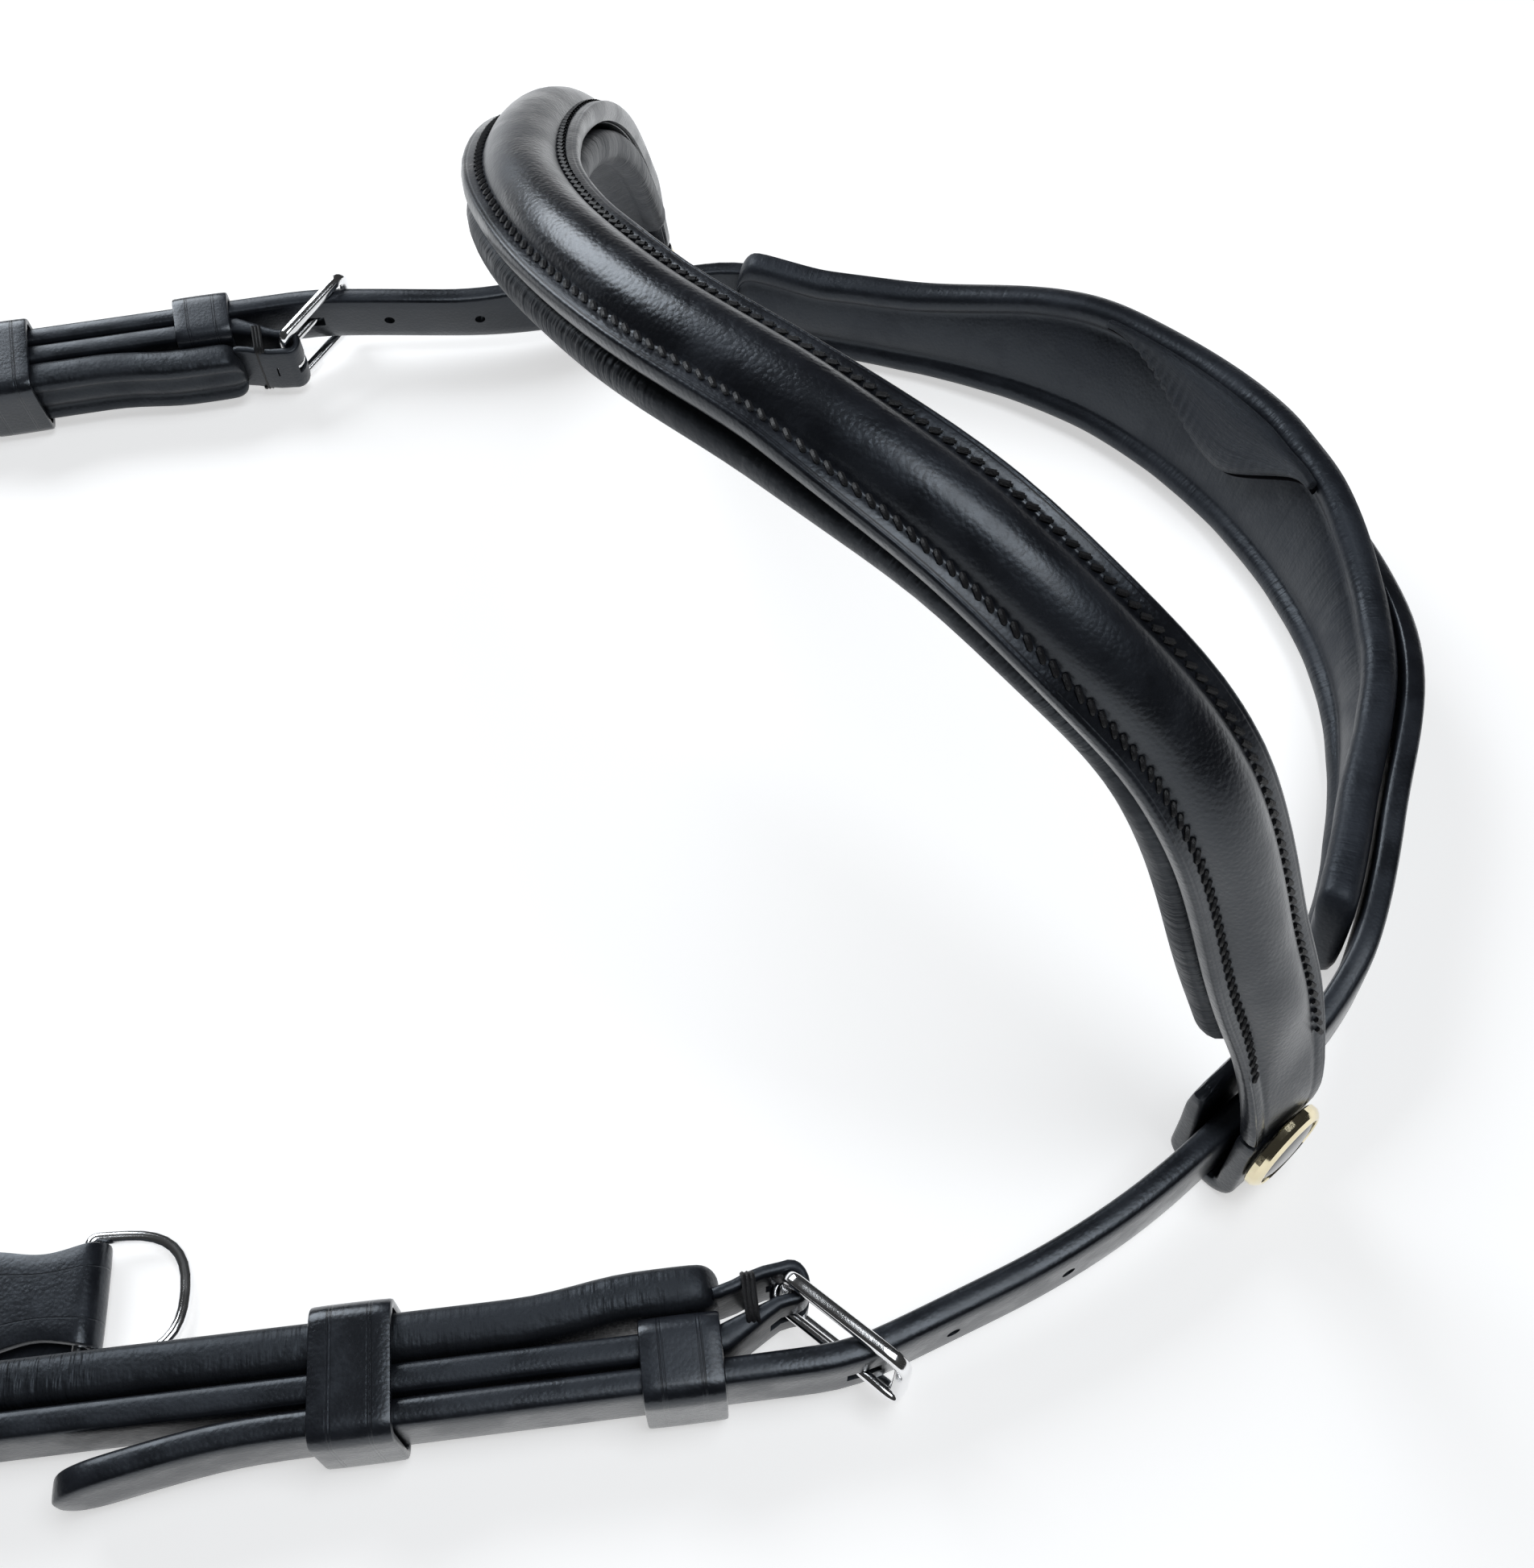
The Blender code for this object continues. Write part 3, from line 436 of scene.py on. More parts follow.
def leatherLook(name, lines=(), dark=(0.007, 0.0079, 0.0108), light=(0.0152, 0.0172, 0.0228),
                rough=(0.3, 0.46), coat=0.35, pebbles=1500, depth=0.00006, wrinkles=0, dust=0.5):
    look, tree, shader = newLook(name, coat=coat, coatRough=leather["coatRough"])
    feed(shader, "Specular Tint", leather["sheen"])
    skin = useGroup(tree, grain, Place=coordinates(tree), Pebbles=pebbles)
    dusty = math2(tree, "MULTIPLY", skin.outputs["Dust"], dust)
    hide = mixColour(tree, skin.outputs["Mottle"], dark, light)
    feed(shader, "Base Color", mixColour(tree, dusty, hide, leather["dust"]))
    feed(shader, "Roughness", span(tree, skin.outputs["Mottle"], 0, 1, *rough))
    normal = bump(tree, skin.outputs["Height"], depth)
    if wrinkles:
        creased = useGroup(tree, rollWrinkles, Flat=coordinates(tree, True))
        normal = bump(tree, creased.outputs["Height"], wrinkles, normal)
    if lines:
        apart = tree.nodes.new("ShaderNodeSeparateXYZ")
        feed(apart, 0, coordinates(tree, True))
        total = None
        for axis, places, width, deep in lines:
            for place in places:
                mark = useGroup(tree, toolLine, Value=apart.outputs[axis], Place=place * mm, Width=width * mm)
                mark = math2(tree, "MULTIPLY", mark.outputs["Mask"], -deep * mm)
                total = math2(tree, "ADD", total, mark) if total else mark
        normal = bump(tree, total, 1, normal)
    feed(shader, "Normal", normal)
    return look


def metalLook(name, colour, rough, scratch=0.00001):
    look, tree, shader = newLook(name, rough, 1)
    spot = coordinates(tree)
    rubbed = noise(tree, stretch(tree, spot, (3000, 900, 900)), 1, 3)
    haze = noise(tree, spot, 160, 3)
    feed(shader, "Base Color", mixColour(tree, haze, colour, tuple(part * 0.86 for part in colour)))
    feed(shader, "Roughness", span(tree, haze, 0.3, 0.7, rough * 0.7, rough * 1.5))
    feed(shader, "Normal", bump(tree, rubbed, scratch))
    return look


def cloudLook(name, rough, scale, detail, dark, light, depth=0, **finish):
    look, tree, shader = newLook(name, rough, **finish)
    cloud = noise(tree, coordinates(tree), scale, detail)
    feed(shader, "Base Color", mixColour(tree, cloud, dark, light))
    if depth:
        feed(shader, "Normal", bump(tree, cloud, depth))
    return look


looks = {
    "billet": leatherLook("billetLeather", lines=((2, (1.7, 11.3), 0.45, 0.1),)),
    "band": leatherLook("browbandLeather", rough=(0.28, 0.44), coat=0.38, pebbles=1450, depth=0.0001,
                        lines=((2, (8.1, -8.1), 0.3, 0.1),)),
    "nose": leatherLook("nosebandLeather", rough=(0.28, 0.42), coat=0.45, depth=0.00008,
                        lines=((1, (10, -10), 0.3, 0.1),)),
    "tab": leatherLook("tabLeather", lines=((2, (6.4, -6.4), 0.3, 0.1),)),
    "keeper": leatherLook("keeperLeather", rough=(0.26, 0.42), coat=0.5,
                          lines=((2, (4.6, -4.6), 0.3, 0.1), (2, (3.9, -3.9), 0.3, 0.07))),
    "cheek": leatherLook("cheekLeather", rough=(0.36, 0.52), coat=0.2),
    "lining": leatherLook("liningLeather", dark=(0.008, 0.009, 0.0115), light=(0.016, 0.0175, 0.022), dust=0.25,
                          rough=(0.44, 0.6), coat=0.05, pebbles=1250, depth=0.00009, wrinkles=0.0004),
    "soft": leatherLook("headpieceLeather", dark=(0.0096, 0.011, 0.015), light=(0.019, 0.0215, 0.0285),
                        rough=(0.42, 0.58), coat=0.08, pebbles=1250, depth=0.00008, wrinkles=0.00012, dust=0.25),
    "chrome": metalLook("polishedChrome", (0.97, 0.975, 0.985), 0.13),
    "gold": metalLook("paleGold", (0.93, 0.83, 0.58), 0.1),
    "thread": cloudLook("waxedThread", 0.48, 3800, 2, (0.006, 0.006, 0.007), (0.018, 0.018, 0.02), 0.00008,
                        specular=0.4),
    "enamel": cloudLook("blackEnamel", 0.22, 420, 3, (0.008, 0.008, 0.01), (0.02, 0.02, 0.024), coat=0.35),
    # seam look: near-black, painted shade standing for the groove and shadow under the poll pad's lower edge
    "seam": cloudLook("seamGroovePaintedShade", 0.9, 900, 2, (0.002, 0.002, 0.003), (0.006, 0.006, 0.008), specular=0.05),
}
print("materials made")


# Headpiece strap: one long strap whose ends are the two billets
crown = inMm(radius=1.25, step=6, top=21.5, punch=20, lowEdge=3, rising=7, holeRadius=1.15) | {
    "nearStep": (0.0075, 0.038), "farStep": (0.0075, 0.0215), "spreadFrom": 0.158,
    "holes": (0.038, 0.058, 0.098),
    "tip": ((0.0, 0.30), (0.05, 0.48), (0.10, 0.62), (0.17, 0.74), (0.25, 0.83), (0.36, 0.93), (0.5, 1.0)),
}


def crownExtra(place):
    table = ((0.012, 0.0), (0.038, 0.75), (0.0945, 1.0), (0.1323, 1.0), (0.1431, 0.45), (head * 0.6, 0.45),
             (0.284, 0.1), (head - 0.012, 0.0))
    return (crown["top"] - strapWide) * along(table, place)


def crownInward(place):
    past = max(-place, place - head)
    if past > 0:
        return -lay["billetSpread"] * ramp(past, crown["spreadFrom"], lay["billetLength"] * 1.08)
    inward = strapThick / 2 + gap
    return -inward * ramp(place, *crown["nearStep"]) * ramp(head - place, *crown["farStep"])


def crownStrap():
    wide, first, last = strapWide, -lay["billetLength"], head + lay["billetLength"]
    tips = [(share * wide, tall) for share, tall in crown["tip"]]
    rows = [(first + far, tall) for far, tall in tips]
    rows += [(place, 1.0) for place in evenly(first + 0.5 * wide, last - 0.5 * wide, crown["step"])[1:-1]]
    rows += [(last - far, tall) for far, tall in reversed(tips)]
    half = strapThick / 2
    outline = rounded(-half, half, 0.0, wide, crown["radius"])
    stations = [station(place - routeStart, crownInward(place), 0.7 + 0.3 * min(1.0, tall * 1.3),
                        tall, (1 - tall) * wide / 2) for place, tall in rows]

    def taller(x, out, up):
        share = min(max((up - crown["lowEdge"]) / crown["rising"], 0.0), 1.0)
        return x, out, up + crownExtra(x + routeStart) * share

    strap = drawStrap("crownStrap", outline, stations, taller)
    smoothOut(strap)
    for side, sign in ((0.0, -1), (head, 1)):
        for hole in crown["holes"]:
            punch(strap, (side + sign * hole - routeStart, 0.0, wide / 2), crown["holeRadius"])
    bend(strap, strapGuide, 0)
    return settle(strap, "billet", "crown_strap")


def punch(strap, place, radius):
    pick()
    bpy.ops.mesh.primitive_cylinder_add(vertices=16, radius=radius, depth=crown["punch"], location=place,
                                        rotation=(pi / 2, 0, 0))
    carve(strap, bpy.context.object)


crownPiece = crownStrap()
print("headpiece strap laid")


# Helpers for what is wound, folded or padded
def softEnds(low, high, soft, step):
    ends = ((0.0, 0.45), (0.12, 0.68), (0.35, 0.86), (0.65, 0.96))
    rows = [(low + soft * far, share) for far, share in ends]
    rows += [(place, 1.0) for place in evenly(low + soft, high - soft, step)]
    return rows + [(high - soft * far, share) for far, share in reversed(ends)]


def padOutline(thick, tall, roll, dip):
    half = [(thick - roll + roll * cos(radians(turn)), roll + roll * sin(radians(turn)))
            for turn in (-90, -50, -10, 30, 60)]
    half += [(thick - dip - 0.5 * mm, 2.15 * roll), (thick - 0.75 * dip, 2.8 * roll)]
    upper = [(out, tall - up) for out, up in reversed(half)]
    back = [(roll / 2, tall), (0.0, tall - 0.7 * roll), (0.0, tall / 2), (0.0, 0.7 * roll), (roll / 2, 0.0)]
    return half + [(thick - 0.4 * dip, tall / 2)] + upper + back


def roundTurns(corners, radii, steps=6):
    points = []
    for i, (here, radius) in enumerate(zip(corners, radii)):
        here = Vector(here)
        start = here + (Vector(corners[i - 1]) - here).normalized() * radius
        end = here + (Vector(corners[(i + 1) % len(corners)]) - here).normalized() * radius
        for k in range(steps + 1):
            share = k / steps
            spot = start * (1 - share) ** 2 + here * (2 * share * (1 - share)) + end * share * share
            points.append((spot.x, spot.y, 0.0))
    return points


def lengthsOf(points, closed=False):
    spots = [Vector(spot) for spot in points]
    if closed:
        spots.append(spots[0])
    lengths = [0.0]
    for before, here in zip(spots, spots[1:]):
        lengths.append(lengths[-1] + (here - before).length)
    return lengths


def marksAlong(lengths, step):
    marks = [0.0]
    for high in lengths[1:]:
        if high - marks[-1] > step * 0.2:
            marks += evenly(marks[-1], high, step)[1:]
    marks[-1] = lengths[-1]
    return marks


def alongPath(name, points, outline, place, closed=False, step=2.5 * mm, wide=None, levels=1, taper=0.0,
              tall=None):
    lengths = lengthsOf(points, closed)
    marks = marksAlong(lengths, step)
    full = lengths[-1]
    stations = []
    for mark in marks:
        share = wide(mark, full) if wide else 1.0
        tip = min(mark, full - mark)
        small = 0.45 + 0.55 * sqrt(max(0.0, 1 - (1 - min(tip / taper, 1.0)) ** 2)) if taper else 1.0
        stations.append(station(mark, 0.0, share * small, small * (tall(mark) if tall else 1.0)))
    piece = drawStrap(name, outline, stations, openEnds=closed)
    bend(piece, layGuide(name + "Path", points, None, place, closed), levels)
    if closed:
        weld(piece)
    return piece


def weld(piece):
    pick(piece)
    toMode("EDIT")
    bpy.ops.mesh.select_all(action="SELECT")
    bpy.ops.mesh.remove_doubles(threshold=0.05 * mm)
    bpy.ops.mesh.normals_make_consistent()
    toMode("OBJECT")
    bpy.ops.object.shade_smooth_by_angle(angle=radians(40))


def cutBox(piece, size, place):
    pick()
    bpy.ops.mesh.primitive_cube_add(size=1.0)
    cutter = bpy.context.object
    cutter.matrix_world = place @ Matrix.Diagonal((*size, 1.0))
    carve(piece, cutter)


def circleOutline(radius, sides=10):
    return [(radius * cos(tau * i / sides), radius * sin(tau * i / sides)) for i in range(sides)]


def turned(name, sides, rows, place, sharp=40):
    stations = [station(high, 0.0, radius, radius) for high, radius in rows]
    piece = drawStrap(name, circleOutline(1.0, sides), stations)
    pick(piece)
    piece.matrix_world = shift @ place @ spin(-90, "Y")
    bpy.ops.object.transform_apply()
    bpy.ops.object.shade_smooth_by_angle(angle=radians(sharp))
    return piece


# Every stitch: a short thread with tapered ends
stitch = inMm(thick=0.44, long=2.0, pitch=2.05, lift=0.05) | {"slant": 30}


def stitchRow(name, guide, first, last, out, up, slant, flatOn="Y"):
    pick()
    bpy.ops.mesh.primitive_cylinder_add(vertices=6, radius=stitch["thick"], depth=stitch["long"] * 0.7,
                                        rotation=(0, pi / 2, 0))
    row = bpy.context.object
    row.name = name
    bpy.ops.object.transform_apply()
    for sign in (-1, 1):
        for face in row.data.polygons:
            face.select = face.normal.x * sign > 0.9
        toMode("EDIT")
        bpy.ops.mesh.select_mode(type="FACE")
        bpy.ops.mesh.extrude_region_move(TRANSFORM_OT_translate={"value": (sign * stitch["long"] * 0.15, 0, 0)})
        bpy.ops.transform.resize(value=(1, 0.45, 0.45))
        bpy.ops.mesh.select_all(action="DESELECT")
        toMode("OBJECT")
    turn = spin(slant, flatOn)
    row.matrix_world = Matrix.Translation((first, out, up)) @ turn
    bpy.ops.object.transform_apply()
    modify(row, "ARRAY", use_relative_offset=False, use_constant_offset=True,
           constant_offset_displace=(stitch["pitch"], 0, 0),
           count=max(1, round((last - first) / stitch["pitch"])))
    bend(row, guide, 0)
    return settle(row, "thread")


sides = {"near": (0.0, -1, lay["runner"]), "far": (head, 1, lay["farRunner"])}
upright = spin(90, "Z") @ spin(90)
cheekIn = strapThick + gap
cheekFace = cheekIn + strapThick / 2
midHigh = strapWide / 2


# Headpiece lining and the pleated pad over the poll, with painted shade along the pad's seam
lining = inMm(thick=7.2, tall=22, pollTall=31, roll=2.6, dip=1.4, soft=3.6, step=4)
lining |= {"start": 0.038, "end": 0.284}
# The seam sizes shape a thin tube along the pad's lower edge: a real seam line, made near-black as painted shade
# for the groove and its shadow
pad = inMm(thick=3.9, pleat=2.4, depth=0.55, seam=0.75) | {
    "start": 0.135, "end": 0.196, "seamFlat": 0.6, "bellyShare": 0.49,
    "belly": ((0.0, 0.12), (0.38, 1.0), (1.0, 0.10)),
}


def liningTop(place):
    table = ((pad["start"] * 0.75, 0.0), (pad["start"] * 1.05, 0.9), (head / 2, 1.0), (pad["end"], 0.8),
             (head * 0.8, 0.1), (lining["end"], 0.0))
    return lining["tall"] + (lining["pollTall"] - lining["tall"]) * along(table, place)


def headpieceLining():
    thick, tall = lining["thick"], lining["tall"]
    rows = softEnds(lining["start"], lining["end"], lining["soft"], lining["step"])
    stations = [station(place - routeStart, gap / 2 + thick * (1 - share) / 2, share, share,
                        tall * (1 - share) / 4) for place, share in rows]

    def fuller(x, out, up):
        extra = liningTop(x + routeStart) - tall
        ripple = 0.10 * mm * sin(x * 1900) + 0.08 * mm * sin(x * 970 + up * 300)
        return x, out + ripple * ramp(out, thick * 0.5, thick), up + extra * ramp(up, 6 * mm, 16 * mm)

    outline = padOutline(thick, tall, lining["roll"], lining["dip"])
    piece = dress("headpieceLining", "soft", "headpiece_lining", strapGuide, outline, stations, fuller)


def pollPad():
    long = pad["end"] - pad["start"]
    outline = [(0.25, 0.0), (0.7, 0.0), (1.0, 0.1), (1.05, 0.25), (1.0, 0.45), (1.0, 0.7), (1.0, 0.88),
               (0.7, 1.0), (0.25, 1.0), (0.0, 0.9), (0.0, 0.5), (0.0, 0.1)]
    stations = [station(place - routeStart) for place in evenly(pad["start"], pad["end"], pad["pleat"] / 4)]

    def edges(x):
        share = (x + routeStart - pad["start"]) / long
        belly = along(pad["belly"], share)
        top = liningTop(x + routeStart) - lining["roll"] / 2
        return share, belly, top, top - pad["bellyShare"] * lining["pollTall"] * belly

    def crescent(x, out, up):
        share, belly, top, low = edges(x)
        swell = pad["thick"] * (0.45 + 0.55 * belly)
        gathers = 0.1 + 0.9 * ramp(share, 0.48, 0.64) * (1 - ramp(share, 0.8, 0.93))
        pleat = pad["depth"] * gathers * sin(x * tau / pad["pleat"]) * exp(-((up - 0.1) / 0.3) ** 2) * out
        return x, gap * 1.5 + lining["thick"] + out * swell + pleat, low + (top - low) * up

    # Tube along the pad's lower edge: a real seam line, made near-black as painted shade for the groove and its
    # shadow
    def beside(x, out, up):
        return x, lining["thick"] + gap + out * pad["seamFlat"], edges(x)[3] + up - pad["seam"] / 2

    piece = dress("pollPad", "soft", "poll_pad", strapGuide, outline, stations, crescent)
    dress("pollPadSeamShade", "seam", "", strapGuide, circleOutline(pad["seam"], 8), stations, beside, 0)


headpieceLining()
pollPad()
print("headpiece padding made")


# Cheekpieces: straps with their folds, linings, keepers
cheek = inMm(eye=6.5, returnThick=3, fold=2, wire=1.1, play=0.45, round=1.1, liningTall=13.7, liningThick=7,
             roll=2.0, dip=0.8, soft=3.5, tongueSlot=3) | {
    "returnStart": 0.265, "liningStart": 0.092, "liningEnd": 0.262,
}
binding = inMm(bend=1.2, pitch=0.7, thick=0.38) | {"turns": 3}
keeperSize = inMm(wall=1.6, wide=12, bend=2.7, edge=0.5)


def cheekRows():
    turnedBy = cheek["eye"] + strapThick / 2
    beside = cheekFace + gap + cheek["returnThick"] / 2
    tangent = cheekIn + turnedBy
    opened = lay["bitKeeper"] + 0.6 * keeperSize["wide"]
    end = lay["cheekEnd"]
    rows = [(cheek["returnStart"], beside, cheek["returnThick"]), (opened, beside, cheek["returnThick"])]
    for i in range(1, 6):
        share = i / 6
        inward = beside + (tangent + turnedBy - beside) * ramp(share, 0.0, 1.1)
        thick = cheek["returnThick"] + (strapThick - cheek["returnThick"]) * share / 2
        rows.append((opened + (end - opened) * share, inward, thick))
    rows += arc(end, tangent, turnedBy, 80, -170 / 11, 12, strapThick)
    fixed, pivot, fold = lay["fixedKeeper"], lay["pivot"], cheek["fold"]
    rows += [(place, cheekIn, strapThick) for place in evenly(end, fixed, 10 * mm)[1:]]
    turnedBy = cheek["wire"] + cheek["play"] + fold / 2
    reach = lay["pivotIn"] - turnedBy - cheekIn
    low, high = pivot + 0.7 * turnedBy, fixed - keeperSize["wide"] * 0.52
    for place in evenly(high, low, 1.5 * mm):
        share = ramp(high - place, 0.0, high - low)
        thick = strapThick + (fold - strapThick) * ramp(share, 0.0, 0.7)
        rows.append((place, cheekIn + reach * share, thick))
    rows += arc(pivot, lay["pivotIn"], turnedBy, 250, -20, 10, fold)
    start, inner = rows[-1][0], rows[-1][1]
    tucked = cheek["liningStart"] + fold
    return rows + [(start + (tucked - start) * share, inner - fold * drop, fold)
                   for share, drop in ((0.25, 0.15), (0.45, 0.45), (0.65, 0.9), (0.85, 1.2), (1.0, 1.3))]


def cheekStrap(side):
    origin, sign, _ = sides[side]
    rows = cheekRows()
    points = [(origin + sign * place - routeStart, inward, 0.0) for place, inward, _ in rows]
    thicks = [(length, row[2] / strapThick) for length, row in zip(lengthsOf(points), rows)]
    half = strapThick / 2
    strap = alongPath(side + "CheekStrap", points, rounded(-half, half, 0.0, strapWide, cheek["round"]),
                      shift.inverted(), step=4 * mm, wide=lambda mark, full: between(thicks, mark)[0])
    eye = 2 * (cheek["wire"] + cheek["play"])
    fold = cheek["fold"]
    spot = (origin + sign * lay["pivot"] - routeStart - sign * fold, lay["pivotIn"] - fold / 2, midHigh)
    cutBox(strap, (eye + fold * 4, eye + fold * 2.6, cheek["tongueSlot"]), Matrix.Translation(spot))
    bend(strap, strapGuide, 0)
    settle(strap, "cheek", side + "_cheek_strap")


def cheekLining(side):
    origin, sign, _ = sides[side]
    thick, tall = cheek["liningThick"], cheek["liningTall"]
    clear = lay["fixedKeeper"] + 0.6 * keeperSize["wide"]
    stations = []
    for place, share in softEnds(cheek["liningStart"], cheek["liningEnd"], cheek["soft"], 6 * mm):
        raised = (keeperSize["wall"] + gap) * (1 - ramp(place, clear, clear + keeperSize["wide"] * 1.2))
        out = cheekFace + gap + raised + thick * (1 - share) / 2
        stations.append(station(origin + sign * place - routeStart, out, share, share, tall * (1 - share) / 3))
    outline = padOutline(thick, tall, cheek["roll"], cheek["dip"])
    piece = dress(side + "CheekLining", "lining", side + "_cheek_lining", strapGuide, outline, stations)


def keeperRing(side, kind, place, low, high, top, body="bridle"):
    wall = keeperSize["wall"]
    left, right, bottom, upper = low - wall / 2, high + wall / 2, -gap - wall / 2, top + wall / 2
    corners = ((right, upper), (left, upper), (left, bottom), (right, bottom))
    points = roundTurns(corners, [keeperSize["bend"]] * 4)
    wide = keeperSize["wide"] / 2
    origin, sign, _ = sides[side]
    outline = rounded(-wall / 2, wall / 2, -wide, wide, keeperSize["edge"])
    where = frameAt(origin + sign * place) @ upright
    ring = alongPath(f"{side}{kind}Keeper", points, outline, where, closed=True)
    settle(ring, "keeper", f"{side}_{kind.lower()}_keeper", body)


def threadBinding(side):
    origin, sign, _ = sides[side]
    place = lay["pivot"] + 3 * cheek["fold"]
    low, high = lay["pivotIn"] - 2.6 * cheek["fold"], lay["pivotIn"] + 1.05 * cheek["fold"]
    corners = ((high, strapWide + 0.5 * mm), (low, strapWide + 0.3 * mm), (low, -0.3 * mm), (high, -0.5 * mm))
    ring = roundTurns(corners, [binding["bend"]] * 4, 4)
    turns = binding["turns"]
    points = [(x, y, binding["pitch"] * (i / len(ring) + turn - turns / 2))
              for turn in range(turns) for i, (x, y, _) in enumerate(ring)]
    settle(alongPath(side + "FoldThread", points, circleOutline(binding["thick"], 6),
                     frameAt(origin + sign * place) @ upright, step=1.2 * mm, levels=0), "thread")


for side, (origin, sign, runner) in sides.items():
    thin = strapThick / 2 + gap
    cheekStrap(side)
    threadBinding(side)
    cheekLining(side)
    keeperRing(side, "Fixed", lay["fixedKeeper"], -thin, cheekFace + gap, strapWide + gap)
    keeperRing(side, "Runner", runner, -thin, cheekFace + cheek["liningThick"] + 2 * gap,
               cheek["liningTall"] + gap, side + "_runner")
    keeperRing(side, "Bit", lay["bitKeeper"], cheekIn - thin, cheekFace + cheek["returnThick"] + 2 * gap,
               strapWide + gap)
print("cheekpieces made")


# Buckles: flat polished bars round each frame, and a wire tongue
buckle = inMm(long=20.5, corner=3, barHalf=1.12, tongue=0.9, tongueRise=0.4, holeLong=4.6, holeTall=2.8)
buckle["angle"] = 45


def buckleOf(side):
    origin, sign, _ = sides[side]
    bar = frameAt(origin + sign * lay["pivot"], lay["pivotIn"], midHigh, sign * buckle["angle"])
    half = midHigh + gap + cheek["wire"] + gap / 3
    ahead, long = -sign, buckle["long"]
    corners = ((0, -half), (0, half), (ahead * long, half), (ahead * long, -half))
    corner = buckle["corner"]
    points = roundTurns(corners, (corner / 2, corner / 2, corner, corner))
    thick = buckle["barHalf"]
    settle(alongPath(side + "BuckleFrame", points, rounded(-thick, thick, -thick, thick, 0.62 * mm),
                     bar @ spin(90), closed=True, step=2 * mm),
           "chrome", side + "_buckle_frame", side + "_buckle_frame")
    away = cheek["wire"] + cheek["play"] * 0.8 + buckle["tongue"]
    points = [(long + cheek["wire"] * 1.2, -away - buckle["tongueRise"]), (long * 0.5, -away)]
    points = [(ahead * x, y, 0.0) for x, y in points + arc(0.0, 0.0, away, -90, -22, 13)]
    settle(alongPath(side + "BuckleTongue", points, circleOutline(buckle["tongue"], 8), bar,
                     step=1.5 * mm, taper=1.2 * mm),
           "chrome", side + "_buckle_tongue", side + "_buckle_tongue")
    hole = shift @ bar @ Matrix.Translation((ahead * long * 0.6, -away, 0))
    cutBox(crownPiece, (long, buckle["holeLong"], buckle["holeTall"]), hole)


for side in sides:
    buckleOf(side)
print("buckles made")


# Browband: front with its raised roll, padded lining, loops and studs
band = inMm(wide=18, thick=3.8, roll=5.45, rollHigh=3.4, liningWide=18, liningThick=6.2, liningRoll=2.5,
            stitchAt=6.25, step=4, loopTop=14.3, flapTop=18, loopBend=2.7, loopLow=8, stitchFrom=19) | {
    "widens": (9 * mm, 36 * mm), "rises": (12 * mm, 36 * mm),
}


def archGuideOf():
    feet = []
    for origin in (0.0, head):
        foot = frameAt(origin, -(strapThick / 2 + lay["loopSlack"] + lay["bandThick"] / 2)).translation
        feet.append(Vector((foot.x, foot.y, lay["archFoot"])))
    chord = feet[1] - feet[0]
    ahead = chord.normalized()
    aside = Vector((0, 0, 1)).cross(ahead)
    lean = radians(lay["archLean"])
    rise = Vector((0, 0, 1)) * cos(lean) + aside * sin(lean)
    place = Matrix((ahead, rise, ahead.cross(rise))).transposed().to_4x4()
    place.translation = feet[0]
    rows = [Vector((share * chord.length, high * lay["archHeight"], deep * lay["archHeight"], tilt * mm))
            for share, high, deep, tilt in archLine]
    rows = [rows[0] * 2 - rows[1]] + rows + [rows[-1] * 2 - rows[-2]]
    points = []
    for a, b, c, d in zip(rows, rows[1:], rows[2:], rows[3:]):
        for i in range(4):
            t = i / 4
            points.append(0.5 * (2 * b + (c - a) * t + (2 * a - 5 * b + 4 * c - d) * t ** 2
                                 + (3 * b - a - 3 * c + d) * t ** 3))
    points.append(rows[-2])
    for _ in range(2):
        eased = [(a + 2 * b + c) / 4 for a, b, c in zip(points, points[1:], points[2:])]
        points = [points[0]] + eased + [points[-1]]
    spots = [tuple(point.to_3d()) for point in points]
    return layGuide("archGuide", spots, [point[3] / mm for point in points], place), lengthsOf(spots)[-1]


archGuide, archLong = archGuideOf()


def bandOutline(half, roll, high):
    face = band["thick"] / 2
    flats = ((-0.5, half, 0.0), (0.0, half, 0.45), (0.02, half, 0.9), (0.1, half, 1.7),
             (0.05, roll, -1.1), (-0.3, roll, -0.55), (0.25, roll, 0.0))
    side = [(face + out * mm, up - inset * mm) for out, up, inset in flats]
    side += [(face + high * out, roll * up) for out, up in ((0.44, 0.86), (0.77, 0.6), (0.95, 0.3))]
    lower = [(out, -up) for out, up in reversed(side)]
    return side + [(face + high, 0.0)] + lower + [(-face, half * up) for up in (-1, -0.5, 0.0, 0.5, 1)]


def browbandFront():
    stations = []
    for place in evenly(0.0, archLong, band["step"]):
        inside = min(place, archLong - place)
        wide = lay["loopWide"] + (band["wide"] - lay["loopWide"]) * ramp(inside, *band["widens"])
        stations.append(station(place, 0.0, 1.0, wide / band["wide"]))

    def fading(x, out, up):
        face = band["thick"] / 2
        share = ramp(min(x, archLong - x), *band["rises"])
        return x, out if out <= face else face + (out - face) * share, up

    outline = bandOutline(band["wide"] / 2, band["roll"], band["rollHigh"])
    dress("browbandFront", "band", "browband_front", archGuide, outline, stations, fading)


def browbandLining():
    start, tall, thick = lay["loopWide"] * 1.5, band["liningWide"], band["liningThick"]
    outline = [(-out, up - tall / 2) for out, up in padOutline(thick, tall, band["liningRoll"], 1.3 * mm)]
    face = -band["thick"] / 2 - gap
    stations = [station(place, face - thick * (1 - share) / 2, share, share)
                for place, share in softEnds(start, archLong - start, 5 * mm, band["step"])]
    piece = dress("browbandLining", "lining", "browband_lining", archGuide, outline, stations)


